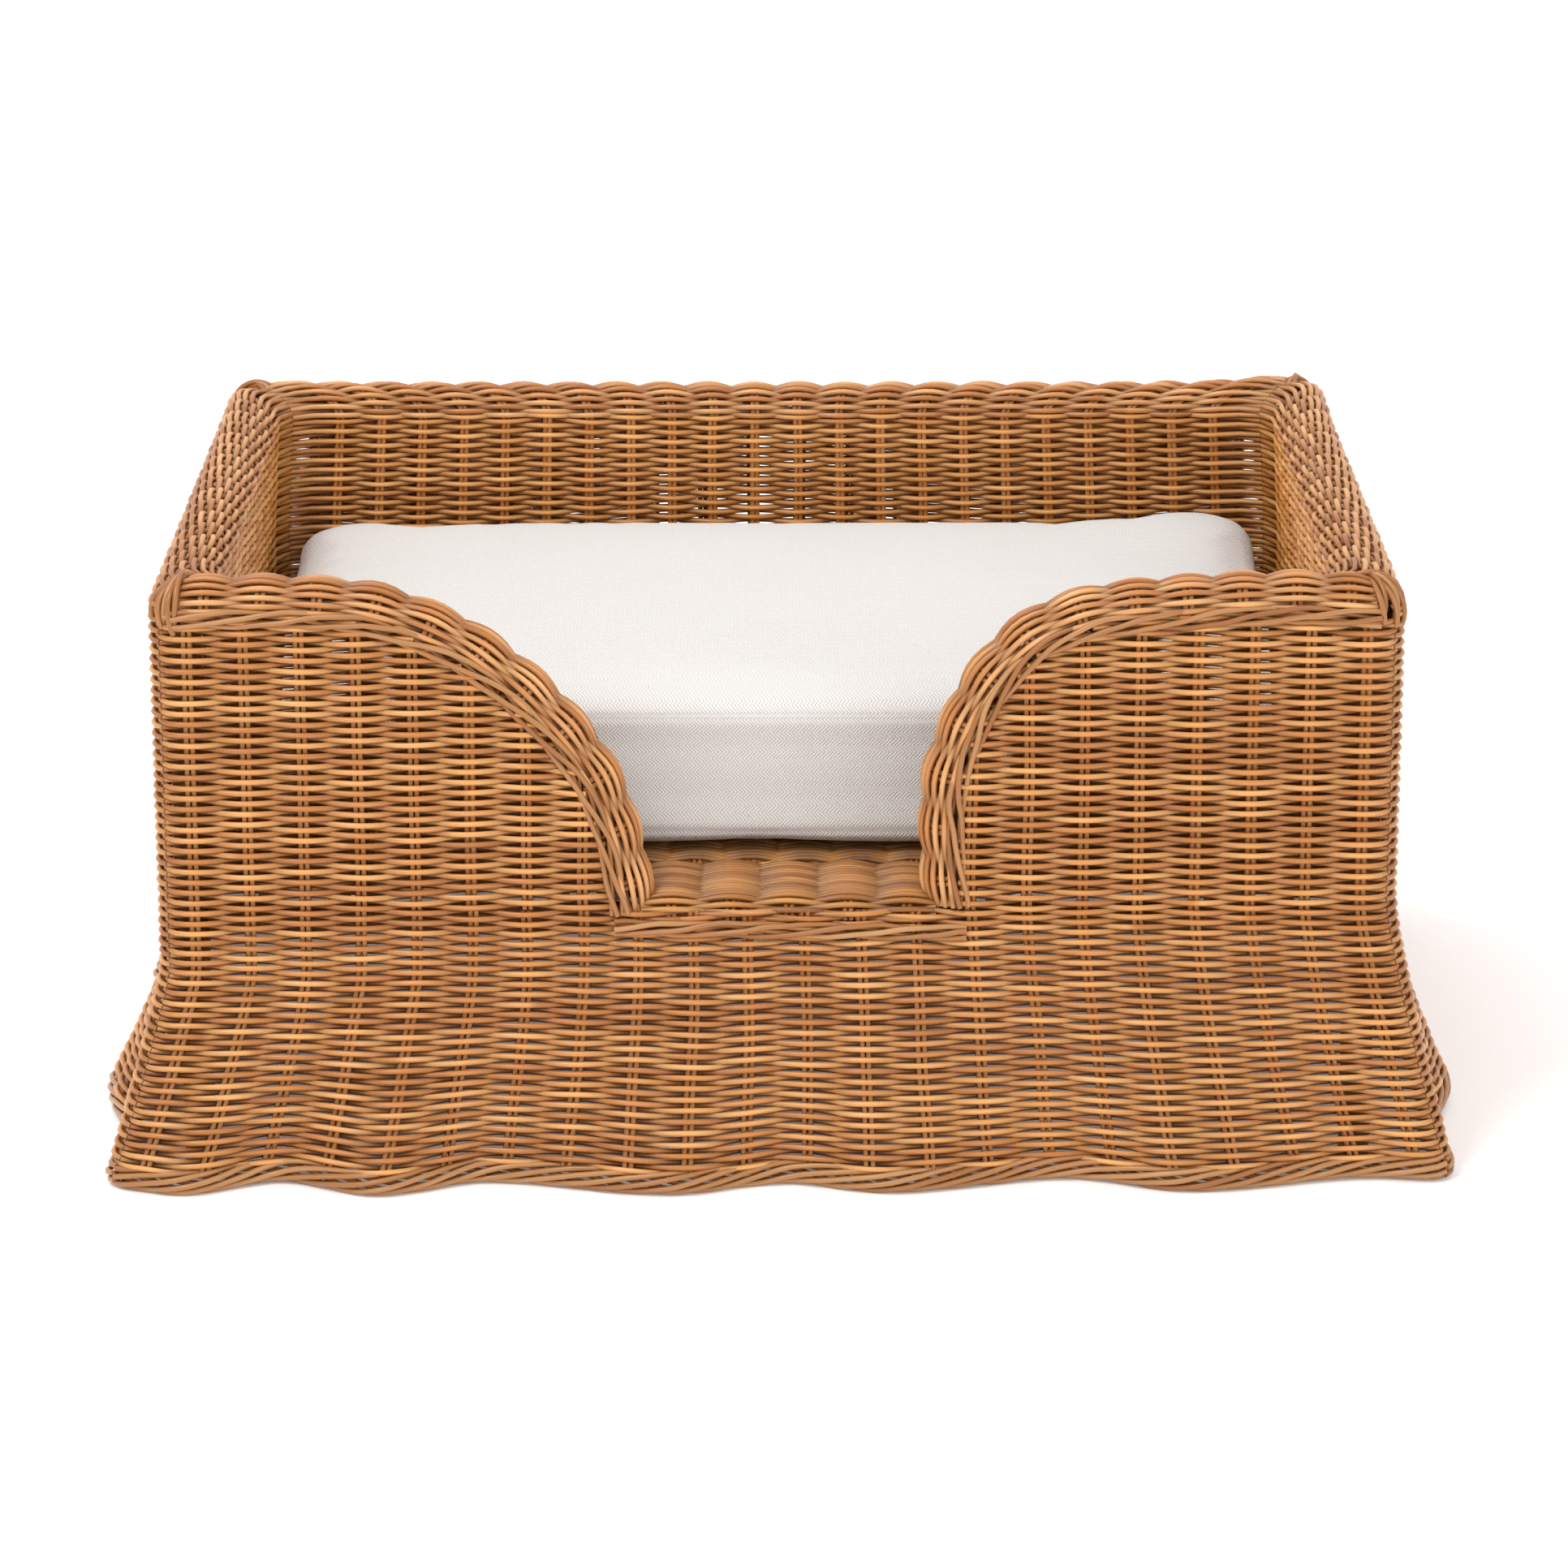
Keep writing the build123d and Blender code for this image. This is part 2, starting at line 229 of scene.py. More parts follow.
# Lays strands that are drawn flat (X along the row, Y up the rows, Z off the surface) on a
# guide surface, and gives each its round section with closed ends.
lay = new_tree("Lay Strands", {
    "Flat": "Geometry", "Surface": "Geometry", "Length": "Float", "Height": "Float",
    "Strand Radius": "Float", "Sides": "Int", "Material": "Material",
})
given = node(lay, "NodeGroupInput").outputs
flat = node(lay, "GeometryNodeInputPosition")
drawn = node(lay, "ShaderNodeSeparateXYZ", {0: flat}).outputs
across = node(lay, "ShaderNodeMath", {0: drawn[0], 1: given["Length"]}, operation="DIVIDE")
upward = node(lay, "ShaderNodeMath", {0: drawn[1], 1: given["Height"]}, operation="DIVIDE")
across = node(lay, "ShaderNodeClamp", {0: across, 1: 0.0002, 2: 0.9998})
upward = node(lay, "ShaderNodeClamp", {0: upward, 1: 0.0005, 2: 0.9995})
spot = node(lay, "ShaderNodeCombineXYZ", {0: across, 1: upward})
uv_map = node(lay, "GeometryNodeInputNamedAttribute", {0: "UVMap"}, data_type="FLOAT_VECTOR")
side_out = node(lay, "GeometryNodeInputNamedAttribute", {0: "out"}, data_type="FLOAT_VECTOR")
to_keep = node(lay, "GeometryNodeInputNamedAttribute", {0: "keep"}, data_type="FLOAT")
ground = node(lay, "GeometryNodeSampleUVSurface", {
    0: given["Surface"], 1: flat, 2: uv_map, 3: spot,
}, data_type="FLOAT_VECTOR")
outward = node(lay, "GeometryNodeSampleUVSurface", {
    0: given["Surface"], 1: side_out, 2: uv_map, 3: spot,
}, data_type="FLOAT_VECTOR")
margin = node(lay, "GeometryNodeSampleUVSurface", {
    0: given["Surface"], 1: to_keep, 2: uv_map, 3: spot,
}, data_type="FLOAT")
outside = node(lay, "FunctionNodeCompare", {0: margin, 1: 0.0}, operation="LESS_THAN", data_type="FLOAT")
trimmed = node(lay, "GeometryNodeDeleteGeometry", {0: given["Flat"], 1: outside})
lifted = node(lay, "ShaderNodeVectorMath", {0: outward, 1: drawn[2], 2: ground}, operation="MULTIPLY_ADD")
placed = node(lay, "GeometryNodeSetPosition", {0: trimmed, 2: lifted})
lines = node(lay, "GeometryNodeMeshToCurve", {0: placed})
section = node(lay, "GeometryNodeCurvePrimitiveCircle", {0: given["Sides"], 4: given["Strand Radius"]})
rounded = node(lay, "GeometryNodeStoreNamedAttribute", {
    0: section, 2: "round", 3: flat,
}, data_type="FLOAT_VECTOR")
tubes = node(lay, "GeometryNodeCurveToMesh", {0: lines, 1: rounded, 3: True})
smooth = node(lay, "GeometryNodeSetShadeSmooth", {0: tubes})
real = node(lay, "GeometryNodeRealizeInstances", {0: smooth})
dressed = node(lay, "GeometryNodeSetMaterial", {0: real, 2: given["Material"]})
node(lay, "NodeGroupOutput", {0: dressed})

# Draws the weave flat: rows that swing out and in past each stake pair, every other row the
# other way, and the pairs of stakes. Looseness and Sway are how far the hand lets them wander.
weave = new_tree("Weave Strands", {
    "Surface": "Geometry", "Length": "Float", "Height": "Float", "Row Pitch": "Float",
    "Stake Pitch": "Float", "First Stake": "Float", "Pair Spread": "Float", "Strand Radius": "Float",
    "Swing": "Float", "First Row": "Float", "Sway": "Float", "Looseness": "Float",
    "Points per Stake": "Float", "Sides": "Int", "Seed": "Int", "Material": "Material",
})
given = node(weave, "NodeGroupInput").outputs
index = node(weave, "GeometryNodeInputIndex")
spacing = node(weave, "ShaderNodeMath", {
    0: given["Stake Pitch"], 1: given["Points per Stake"],
}, operation="DIVIDE")
row_points = node(weave, "ShaderNodeMath", {0: given["Length"], 1: spacing}, operation="DIVIDE")
row_end = node(weave, "ShaderNodeCombineXYZ", {0: given["Length"]})
row_line = node(weave, "GeometryNodeMeshLine", {0: row_points, 3: row_end}, mode="END_POINTS")
row_count = node(weave, "ShaderNodeMath", {
    0: given["Height"], 1: given["Row Pitch"],
}, operation="DIVIDE")
half_row = node(weave, "ShaderNodeMath", {0: given["Row Pitch"], 1: 0.5}, operation="MULTIPLY")
rows = node(weave, "GeometryNodeMeshLine", {
    0: row_count,
    2: node(weave, "ShaderNodeCombineXYZ", {1: half_row}),
    3: node(weave, "ShaderNodeCombineXYZ", {1: given["Row Pitch"]}),
}, mode="OFFSET")
row_number = node(weave, "ShaderNodeMath", {0: index, 1: given["First Row"]}, operation="ADD")
numbered = node(weave, "GeometryNodeStoreNamedAttribute", {
    0: rows, 2: "row", 3: row_number,
}, data_type="FLOAT")
weavers = node(weave, "GeometryNodeInstanceOnPoints", {0: numbered, 2: row_line})
weavers = node(weave, "GeometryNodeRealizeInstances", {0: weavers})
row = node(weave, "GeometryNodeInputNamedAttribute", {0: "row"}, data_type="FLOAT")
flat = node(weave, "GeometryNodeInputPosition")
part = node(weave, "ShaderNodeSeparateXYZ", {0: flat}).outputs
past = node(weave, "ShaderNodeMath", {0: part[0], 1: given["First Stake"]}, operation="SUBTRACT")
stake = node(weave, "ShaderNodeMath", {0: past, 1: given["Stake Pitch"]}, operation="DIVIDE")
turns = node(weave, "ShaderNodeMath", {0: stake, 1: row}, operation="ADD")
angle = node(weave, "ShaderNodeMath", {0: turns, 1: math.pi}, operation="MULTIPLY")
lift = node(weave, "ShaderNodeMath", {0: angle}, operation="COSINE")
height = node(weave, "ShaderNodeMath", {0: lift, 1: given["Swing"]}, operation="MULTIPLY")
# No strand runs dead straight: each wanders on its own, out or in and up or down, and turns
# back after some 45 mm.
seed_place = node(weave, "ShaderNodeCombineXYZ", {0: part[0], 1: row, 2: given["Seed"]})
stretched = node(weave, "ShaderNodeVectorMath", {0: seed_place, 1: (22.0, 3.7, 5.3)}, operation="MULTIPLY")
shake = node(weave, "ShaderNodeTexNoise", {
    0: stretched, 2: 1.0, 3: 1.0, 4: 0.5,
}, noise_dimensions="3D").outputs[1]
shaken = node(weave, "ShaderNodeVectorMath", {0: shake, 1: (0.5, 0.5, 0.5)}, operation="SUBTRACT")
loose = node(weave, "ShaderNodeCombineXYZ", {1: given["Looseness"], 2: given["Looseness"]})
wander = node(weave, "ShaderNodeVectorMath", {0: shaken, 1: loose}, operation="MULTIPLY")
swing_place = node(weave, "ShaderNodeCombineXYZ", {2: height})
moved = node(weave, "ShaderNodeVectorMath", {0: swing_place, 1: wander}, operation="ADD")
row_grain = node(weave, "ShaderNodeCombineXYZ", {0: part[0], 1: row})
with_grain = node(weave, "GeometryNodeStoreNamedAttribute", {
    0: weavers, 2: "grain", 3: row_grain,
}, data_type="FLOAT_VECTOR")
with_lift = node(weave, "GeometryNodeStoreNamedAttribute", {
    0: with_grain, 2: "lift", 3: lift,
}, data_type="FLOAT")
# After some 230 mm a row goes on with another length of core, in another shade.
piece_of_row = node(weave, "ShaderNodeMath", {0: part[0], 1: 4.3}, operation="MULTIPLY")
stagger = node(weave, "ShaderNodeMath", {0: row, 1: 0.37, 2: piece_of_row}, operation="MULTIPLY_ADD")
length_id = node(weave, "ShaderNodeMath", {0: stagger}, operation="FLOOR")
strand_id = node(weave, "ShaderNodeMath", {0: row, 1: 61.0, 2: length_id}, operation="MULTIPLY_ADD")
tint = node(weave, "FunctionNodeRandomValue", {
    2: 0.0, 3: 1.0, 7: strand_id, 8: given["Seed"],
}, data_type="FLOAT")
with_tint = node(weave, "GeometryNodeStoreNamedAttribute", {
    0: with_lift, 2: "tint", 3: tint.outputs[1],
}, data_type="FLOAT")
swung = node(weave, "GeometryNodeSetPosition", {0: with_tint, 3: moved})
# Each stake is a line with a point every 6 mm, and two of them stand side by side.
stake_points = node(weave, "ShaderNodeMath", {0: given["Height"], 1: 0.006}, operation="DIVIDE")
stake_points = node(weave, "ShaderNodeMath", {0: stake_points, 1: 2.0}, operation="ADD")
pair = node(weave, "GeometryNodeJoinGeometry")
for side in (-1.0, 1.0):
    shift = node(weave, "ShaderNodeMath", {0: given["Pair Spread"], 1: side}, operation="MULTIPLY")
    one = node(weave, "GeometryNodeMeshLine", {
        0: stake_points,
        2: node(weave, "ShaderNodeCombineXYZ", {0: shift}),
        3: node(weave, "ShaderNodeCombineXYZ", {0: shift, 1: given["Height"]}),
    }, mode="END_POINTS")
    weave.links.new(one.outputs[0], pair.inputs[0])
stake_count = node(weave, "ShaderNodeMath", {
    0: given["Length"], 1: given["Stake Pitch"],
}, operation="DIVIDE")
stake_count = node(weave, "ShaderNodeMath", {0: stake_count}, operation="ROUND")
stake_line = node(weave, "GeometryNodeMeshLine", {
    0: stake_count,
    2: node(weave, "ShaderNodeCombineXYZ", {0: given["First Stake"]}),
    3: node(weave, "ShaderNodeCombineXYZ", {0: given["Stake Pitch"]}),
}, mode="OFFSET")
stakes = node(weave, "GeometryNodeInstanceOnPoints", {0: stake_line, 2: pair})
stakes = node(weave, "GeometryNodeRealizeInstances", {0: stakes})
stake_id = node(weave, "ShaderNodeMath", {0: part[0], 1: 900.0}, operation="MULTIPLY")
stake_tint = node(weave, "FunctionNodeRandomValue", {
    2: 0.35, 3: 0.95, 7: stake_id, 8: given["Seed"],
}, data_type="FLOAT")
stake_grain = node(weave, "ShaderNodeCombineXYZ", {0: part[1], 1: stake_id})
stakes = node(weave, "GeometryNodeStoreNamedAttribute", {
    0: stakes, 2: "grain", 3: stake_grain,
}, data_type="FLOAT_VECTOR")
stakes = node(weave, "GeometryNodeStoreNamedAttribute", {
    0: stakes, 2: "tint", 3: stake_tint.outputs[1],
}, data_type="FLOAT")
# The stakes lie in the middle of the weave, where little light reaches them.
stakes = node(weave, "GeometryNodeStoreNamedAttribute", {
    0: stakes, 2: "lift", 3: -0.25,
}, data_type="FLOAT")
both = node(weave, "GeometryNodeJoinGeometry")
weave.links.new(swung.outputs[0], both.inputs[0])
weave.links.new(stakes.outputs[0], both.inputs[0])
# The whole weave sways a little, rows and stakes alike, over some 70 to 110 mm, and not at all
# at its two ends, where the next side's rows carry on.
sway_place = node(weave, "ShaderNodeCombineXYZ", {0: part[0], 1: part[1], 2: given["Seed"]})
sway_scale = node(weave, "ShaderNodeVectorMath", {0: sway_place, 1: (14.0, 9.0, 3.1)}, operation="MULTIPLY")
sway_noise = node(weave, "ShaderNodeTexNoise", {
    0: sway_scale, 2: 1.0, 3: 1.0, 4: 0.5,
}, noise_dimensions="3D").outputs[1]
swayed = node(weave, "ShaderNodeVectorMath", {0: sway_noise, 1: (0.5, 0.5, 0.5)}, operation="SUBTRACT")
turn_there = node(weave, "ShaderNodeMath", {0: part[0], 1: given["Length"]}, operation="DIVIDE")
turn_there = node(weave, "ShaderNodeMath", {0: turn_there, 1: math.pi}, operation="MULTIPLY")
middle = node(weave, "ShaderNodeMath", {0: turn_there}, operation="SINE")
amount = node(weave, "ShaderNodeMath", {0: middle, 1: given["Sway"]}, operation="MULTIPLY")
only_flat = node(weave, "ShaderNodeCombineXYZ", {0: amount, 1: amount})
sway = node(weave, "ShaderNodeVectorMath", {0: swayed, 1: only_flat}, operation="MULTIPLY")
bent = node(weave, "GeometryNodeSetPosition", {0: both, 3: sway})
LAY_SIZES = ("Surface", "Length", "Height", "Strand Radius", "Sides", "Material")
laid = node(weave, "GeometryNodeGroup", node_tree=lay)
weave.links.new(bent.outputs[0], laid.inputs["Flat"])
for socket in LAY_SIZES:
    weave.links.new(given[socket], laid.inputs[socket])
node(weave, "NodeGroupOutput", {0: laid})


def run_tree(tree, surface, name, sizes):
    """Runs a tree on a guide surface and gives back its strands as a plain mesh object."""
    maker = surface.modifiers.new(tree.name, "NODES")
    maker.node_group = tree
    sockets = {s.name: s.identifier for s in tree.interface.items_tree if s.in_out == "INPUT"}
    for size, value in sizes.items():
        maker[sockets[size]] = value
    graph = bpy.context.evaluated_depsgraph_get()
    mesh = bpy.data.meshes.new_from_object(surface.evaluated_get(graph))
    mesh.name = name
    bpy.data.objects.remove(surface)
    piece = bpy.data.objects.new(name, mesh)
    scene.collection.objects.link(piece)
    return piece


def core_rattan(name, dark, middle, light, gloss, seen=1.0):
    """Peeled round rattan core, oiled and tumbled smooth.

    It gives the eye honey strands that differ from one another, fine darker streaks along each
    strand and a soft wax shine. Fibre streaks are drawn about 0.6 mm wide and 25 mm long. Each
    strand is painted darker, towards a deep brown, where it swings into the weave: painted shade for
    the hollows; seen is 1 where the weave's outer side shows, -1 for its back.
    """
    material, tree = blank_finish(name)
    grain = node(tree, "ShaderNodeAttribute", attribute_name="grain").outputs["Vector"]
    ring = node(tree, "ShaderNodeAttribute", attribute_name="round").outputs["Vector"]
    strand = node(tree, "ShaderNodeAttribute", attribute_name="tint").outputs["Fac"]
    swing = node(tree, "ShaderNodeAttribute", attribute_name="lift").outputs["Fac"]
    along = node(tree, "ShaderNodeVectorMath", {0: grain, 1: (40.0, 1.7, 1.0)}, operation="MULTIPLY")
    about = node(tree, "ShaderNodeVectorMath", {0: ring, 1: (1600.0,) * 3}, operation="MULTIPLY")
    fibre = node(tree, "ShaderNodeVectorMath", {0: along, 1: about}, operation="ADD")
    streaks = node(tree, "ShaderNodeTexNoise", {"Vector": fibre, "Scale": 1.0, "Detail": 2.0})
    slow = node(tree, "ShaderNodeVectorMath", {0: grain, 1: (11.0, 3.3, 1.0)}, operation="MULTIPLY")
    patches = node(tree, "ShaderNodeTexNoise", {"Vector": slow, "Scale": 1.0, "Detail": 1.0})
    mixed = node(tree, "ShaderNodeMath", {0: patches, 1: strand}, operation="ADD")
    mixed = node(tree, "ShaderNodeMath", {0: streaks, 1: 1.1, 2: mixed}, operation="MULTIPLY_ADD")
    shade = node(tree, "ShaderNodeMapRange", {0: mixed, 1: 0.45, 2: 2.2})
    ramp = node(tree, "ShaderNodeValToRGB", {0: shade})
    ramp.color_ramp.elements[0].color = linear(dark)
    ramp.color_ramp.elements[1].color = linear(light)
    ramp.color_ramp.elements.new(0.5).color = linear(middle)
    # Painted shade: each strand turns towards a deep brown where it swings into the weave's hollows.
    hollow_shade_amount = node(tree, "ShaderNodeMapRange", {0: swing, 1: -seen, 2: seen, 3: 0.74, 4: 0.0})
    hollow_shaded_colour = node(tree, "ShaderNodeMix", {0: hollow_shade_amount, 6: ramp, 7: linear("#341604")}, data_type="RGBA")
    rough = node(tree, "ShaderNodeMapRange", {0: streaks, 3: gloss + 0.1, 4: gloss - 0.08})
    bump = node(tree, "ShaderNodeBump", {"Strength": 0.25, "Distance": 0.0003, "Height": streaks})
    shader = node(tree, "ShaderNodeBsdfPrincipled", {
        "Base Color": hollow_shaded_colour.outputs[2], "Roughness": rough, "IOR": 1.5, "Normal": bump,
    })
    node(tree, "ShaderNodeOutputMaterial", {"Surface": shader})
    return material


wall_rattan = core_rattan("peeled_rattan_core_honey", "#8F511F", "#BF7B3D", "#E3A764", 0.34)


def spline(points, start, end, steps=24):
    """A smooth line through points (two numbers each), with given end directions."""
    points = np.array(points, float)
    run = np.linalg.norm(np.diff(points, axis=0), axis=1)
    slopes = np.zeros_like(points)
    slopes[1:-1] = (points[2:] - points[:-2]) / (run[1:] + run[:-1])[:, None]
    slopes[0], slopes[-1] = start, end
    out = []
    for i, span in enumerate(run):
        t = np.linspace(0, 1, steps, endpoint=i == len(run) - 1)[:, None]
        out.append(
            (2 * t**3 - 3 * t**2 + 1) * points[i] + (t**3 - 2 * t**2 + t) * slopes[i] * span
            + (3 * t**2 - 2 * t**3) * points[i + 1] + (t**3 - t**2) * slopes[i + 1] * span
        )
    return np.concatenate(out)


# The cut-out that the animal steps through: the wall's edge on each side, in millimetres.
ENTRY_LEFT = spline(
    [(-350, 348), (-318, 349), (-242, 347), (-206, 339), (-161, 317), (-117, 278), (-90, 240),
     (-76, 202), (-70, 173), (-67, 157)], (1, 0), (0.1, -1)) / 1000
ENTRY_RIGHT = spline(
    [(350, 348), (289, 351), (208, 347), (168, 341), (136, 327), (110, 301), (94, 273), (81, 235),
     (79, 197), (82, 157)], (-1, 0), (0.1, -1)) / 1000
ROLL = 0.0145  # the radius of the roll along every top edge


def inside_edge(outline, inset, sign):
    """How far a surface's points are inside the entry's edge, less an inset, for one half of the front."""

    def measure(place):
        flat = place[:, :, [0, 2]]
        gap = flat[:, :, None, :] - outline[None, None, :, :]
        near = np.argmin((gap**2).sum(3), axis=2)
        along = np.gradient(outline, axis=0)
        side = np.stack([-along[:, 1], along[:, 0]], axis=1) * sign
        side /= np.linalg.norm(side, axis=1, keepdims=True)
        took = np.take_along_axis(gap, near[:, :, None, None], axis=2)[:, :, 0]
        signed = (took * side[near]).sum(2)
        return -signed - inset

    return measure


def rim_lift(x, y):
    """How far the plaited top stands up over the poles: most at the back, and at its two corners."""
    near_corner = np.exp(-(((np.abs(x) - 0.335) / 0.045) ** 2)) * np.clip((y - 0.15) / 0.08, 0, 1)
    return 0.0006 + 0.0062 * np.clip((y + 0.24) / 0.48, 0, 1) + (0.0026 + 0.0019 * np.sign(x)) * near_corner


def wall_at(side):
    """The outer wall's middle line in plan, straight up from the waist to the shoulder."""

    def at(u, v):
        x, y = on_side(side, u, 0 * u)
        return x, y, waist + (SHOULDER + rim_lift(x, y) - waist) * v

    return at


# What every woven piece starts from, unless it says otherwise.
WEAVE_SIZES = {
    "Row Pitch": ROW_PITCH, "Pair Spread": PAIR, "Strand Radius": STRAND / 2, "Swing": SWING,
    "Sway": 0.005, "Looseness": 0.0012, "Points per Stake": 6.0, "Sides": 5, "First Row": 0.0,
}


def woven_piece(name, stands_for, slot, at, length, height, stakes, cells, keep=None, **changed):
    """A woven piece of the basket that stands for a CAD node: strands on a surface."""
    sizes = dict(WEAVE_SIZES)
    pitch = length / stakes
    sizes.update({"Length": length, "Height": height, "Stake Pitch": pitch, "First Stake": pitch / 2})
    for size, value in changed.items():
        sizes[size.replace("_", " ")] = value
    piece = run_tree(weave, guide(name + "_guide", at, *cells, keep=keep), name, sizes)
    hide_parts(stands_for)
    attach(piece, "basket")


# The front is one weave in two halves, each cut back to where the entry's roll covers its edge.
UNDER_ROLL = 0.020
WALL_SPOTS = {
    "front_left": ("front", inside_edge(ENTRY_LEFT, UNDER_ROLL, 1)),
    "front_right": ("front", inside_edge(ENTRY_RIGHT, UNDER_ROLL, -1)),
    "right": ("right", None),
    "back": ("back", None),
    "left": ("left", None),
}
for spot, (side, keep) in WALL_SPOTS.items():
    woven_piece(
        "weave_wall_" + spot, "outer_wall_" + spot, "woven_rattan", wall_at(side),
        side_length(side), SHOULDER - waist, SIDE_STAKES[side], (240, 48), keep,
        Seed=SIDE_TURNS[side], Material=wall_rattan, First_Row=float(SKIRT_ROWS),
    )

# ======================================================================================
# Skirt
# Below the waist the same rows run on over stakes that are bent outwards, so that the
# skirt flares to the floor, in soft waves that the damp rattan keeps when it has dried.
# ======================================================================================

HEM = 0.012  # the height of the skirt's last row
SKIRT_SLOPE = 0.1535  # from the hem up the slope to the waist
FLARE_BEND = 0.12  # the share of the skirt's height in which it bends outwards
STEADY = 0.025  # how far out the skirt stands on average
# How far the hem stands out from the wall along each side, left to right as seen from outside,
# in millimetres, and how high up each corner the flare starts.
HEM_WAVES = {
    "front": [(-345, 29), (-308, 39), (-260, 18), (-208, 40), (-152, 19), (-58, 39), (3, 21), (60, 36),
              (150, 14), (212, 34), (300, 14), (345, 18)],
    "right": [(-250, 35), (-190, 30), (-105, 48), (-20, 24), (70, 40), (150, 22), (250, 32)],
    "back": [(-345, 28), (-280, 14), (-200, 36), (-120, 12), (-30, 34), (60, 12), (150, 36), (240, 14),
             (345, 30)],
    "left": [(-250, 30), (-170, 22), (-80, 40), (10, 24), (105, 45), (190, 26), (250, 30)],
}
FLARE_STARTS = {
    "front": (0.125, 0.166), "right": (0.166, 0.15), "back": (0.15, 0.14), "left": (0.14, 0.125),
}
NEXT = {"front": "right", "right": "back", "back": "left", "left": "front"}
BEFORE = {after: side for side, after in NEXT.items()}


def hem_depth(side, u):
    """How far out the hem stands at u along a side."""
    wave = spline(HEM_WAVES[side], (1, 0), (1, 0))
    run = wave[:, 0] / (2 * wave[-1, 0]) + 0.5
    return np.interp(u, run, wave[:, 1]) / 1000


def flare(side, u, z):
    """How far out the skirt stands at u along a side and at height z."""
    start = FLARE_STARTS[side][0] + (FLARE_STARTS[side][1] - FLARE_STARTS[side][0]) * u
    fall = np.clip((start - z) / (start - HEM), 0, None)
    bent = np.where(fall < FLARE_BEND, fall**2 / (2 * FLARE_BEND), fall - FLARE_BEND / 2)
    fall = bent / (1 - FLARE_BEND / 2)
    return STEADY * fall + (hem_depth(side, u) - STEADY) * fall**1.8


def on_skirt(side, u, z):
    """Plan position on the skirt at u along a side and at height z."""
    ahead, behind = flare(NEXT[side], 0 * u, z), flare(BEFORE[side], 0 * u + 1, z)
    return on_side(side, u, flare(side, u, z), ahead, behind)


def skirt_at(side):
    """The skirt's middle line, flaring from the waist down to the hem."""

    def at(u, v):
        z = HEM + (waist - HEM) * v
        x, y = on_skirt(side, u, z)
        return x, y, z

    return at


for side in SIDE_TURNS:
    woven_piece(
        "weave_skirt_" + side, "skirt_" + side, "woven_rattan", skirt_at(side),
        side_length(side), SKIRT_SLOPE, SIDE_STAKES[side], (260, 30),
        Seed=SIDE_TURNS[side], Material=wall_rattan, Row_Pitch=SKIRT_SLOPE / SKIRT_ROWS, Sway=0.007,
    )

# ======================================================================================
# Hem braid
# The stake ends are turned along the floor and plaited into a flat twisted roll of seven
# strands, which keeps the skirt's edge from fraying and rides up a little in its waves.
# ======================================================================================

# Draws a rope flat: strands that wind round one oval core, spread evenly round it.
rope = new_tree("Twist Strands", {
    "Surface": "Geometry", "Length": "Float", "Height": "Float", "Strands": "Int", "Twist Pitch": "Float",
    "Half Height": "Float", "Half Thickness": "Float", "Strand Radius": "Float", "Point Spacing": "Float",
    "Looseness": "Float", "Sides": "Int", "Seed": "Int", "Material": "Material",
})
given = node(rope, "NodeGroupInput").outputs
points = node(rope, "ShaderNodeMath", {
    0: given["Length"], 1: given["Point Spacing"],
}, operation="DIVIDE")
rope_end = node(rope, "ShaderNodeCombineXYZ", {0: given["Length"]})
strand_line = node(rope, "GeometryNodeMeshLine", {0: points, 3: rope_end}, mode="END_POINTS")
starts = node(rope, "GeometryNodeMeshLine", {0: given["Strands"], 3: (0.0, 0.0, 0.0)}, mode="OFFSET")
number = node(rope, "GeometryNodeInputIndex")
numbered = node(rope, "GeometryNodeStoreNamedAttribute", {
    0: starts, 2: "row", 3: number,
}, data_type="FLOAT")
strands = node(rope, "GeometryNodeInstanceOnPoints", {0: numbered, 2: strand_line})
strands = node(rope, "GeometryNodeRealizeInstances", {0: strands})
row = node(rope, "GeometryNodeInputNamedAttribute", {0: "row"}, data_type="FLOAT")
flat = node(rope, "GeometryNodeInputPosition")
run = node(rope, "ShaderNodeSeparateXYZ", {0: flat})
wound = node(rope, "ShaderNodeMath", {0: run, 1: given["Twist Pitch"]}, operation="DIVIDE")
share = node(rope, "ShaderNodeMath", {0: row, 1: given["Strands"]}, operation="DIVIDE")
wound = node(rope, "ShaderNodeMath", {0: wound, 1: share}, operation="ADD")
wound = node(rope, "ShaderNodeMath", {0: wound, 1: 2 * math.pi}, operation="MULTIPLY")
rise = node(rope, "ShaderNodeMath", {0: wound}, operation="SINE")
bulge = node(rope, "ShaderNodeMath", {0: wound}, operation="COSINE")
half_strip = node(rope, "ShaderNodeMath", {0: given["Height"], 1: 0.5}, operation="MULTIPLY")
up = node(rope, "ShaderNodeMath", {
    0: rise, 1: given["Half Height"], 2: half_strip,
}, operation="MULTIPLY_ADD")
out = node(rope, "ShaderNodeMath", {0: bulge, 1: given["Half Thickness"]}, operation="MULTIPLY")
wobble_at = node(rope, "ShaderNodeCombineXYZ", {0: run, 1: row, 2: given["Seed"]})
wobble_at = node(rope, "ShaderNodeVectorMath", {0: wobble_at, 1: (45.0, 3.7, 5.3)}, operation="MULTIPLY")
wobble = node(rope, "ShaderNodeTexNoise", {
    0: wobble_at, 2: 1.0, 3: 1.0, 4: 0.5,
}, noise_dimensions="3D").outputs[1]
wobble = node(rope, "ShaderNodeVectorMath", {0: wobble, 1: (0.5, 0.5, 0.5)}, operation="SUBTRACT")
slack = node(rope, "ShaderNodeCombineXYZ", {1: given["Looseness"], 2: given["Looseness"]})
wobble = node(rope, "ShaderNodeVectorMath", {0: wobble, 1: slack}, operation="MULTIPLY")
wound_place = node(rope, "ShaderNodeCombineXYZ", {0: run, 1: up, 2: out})
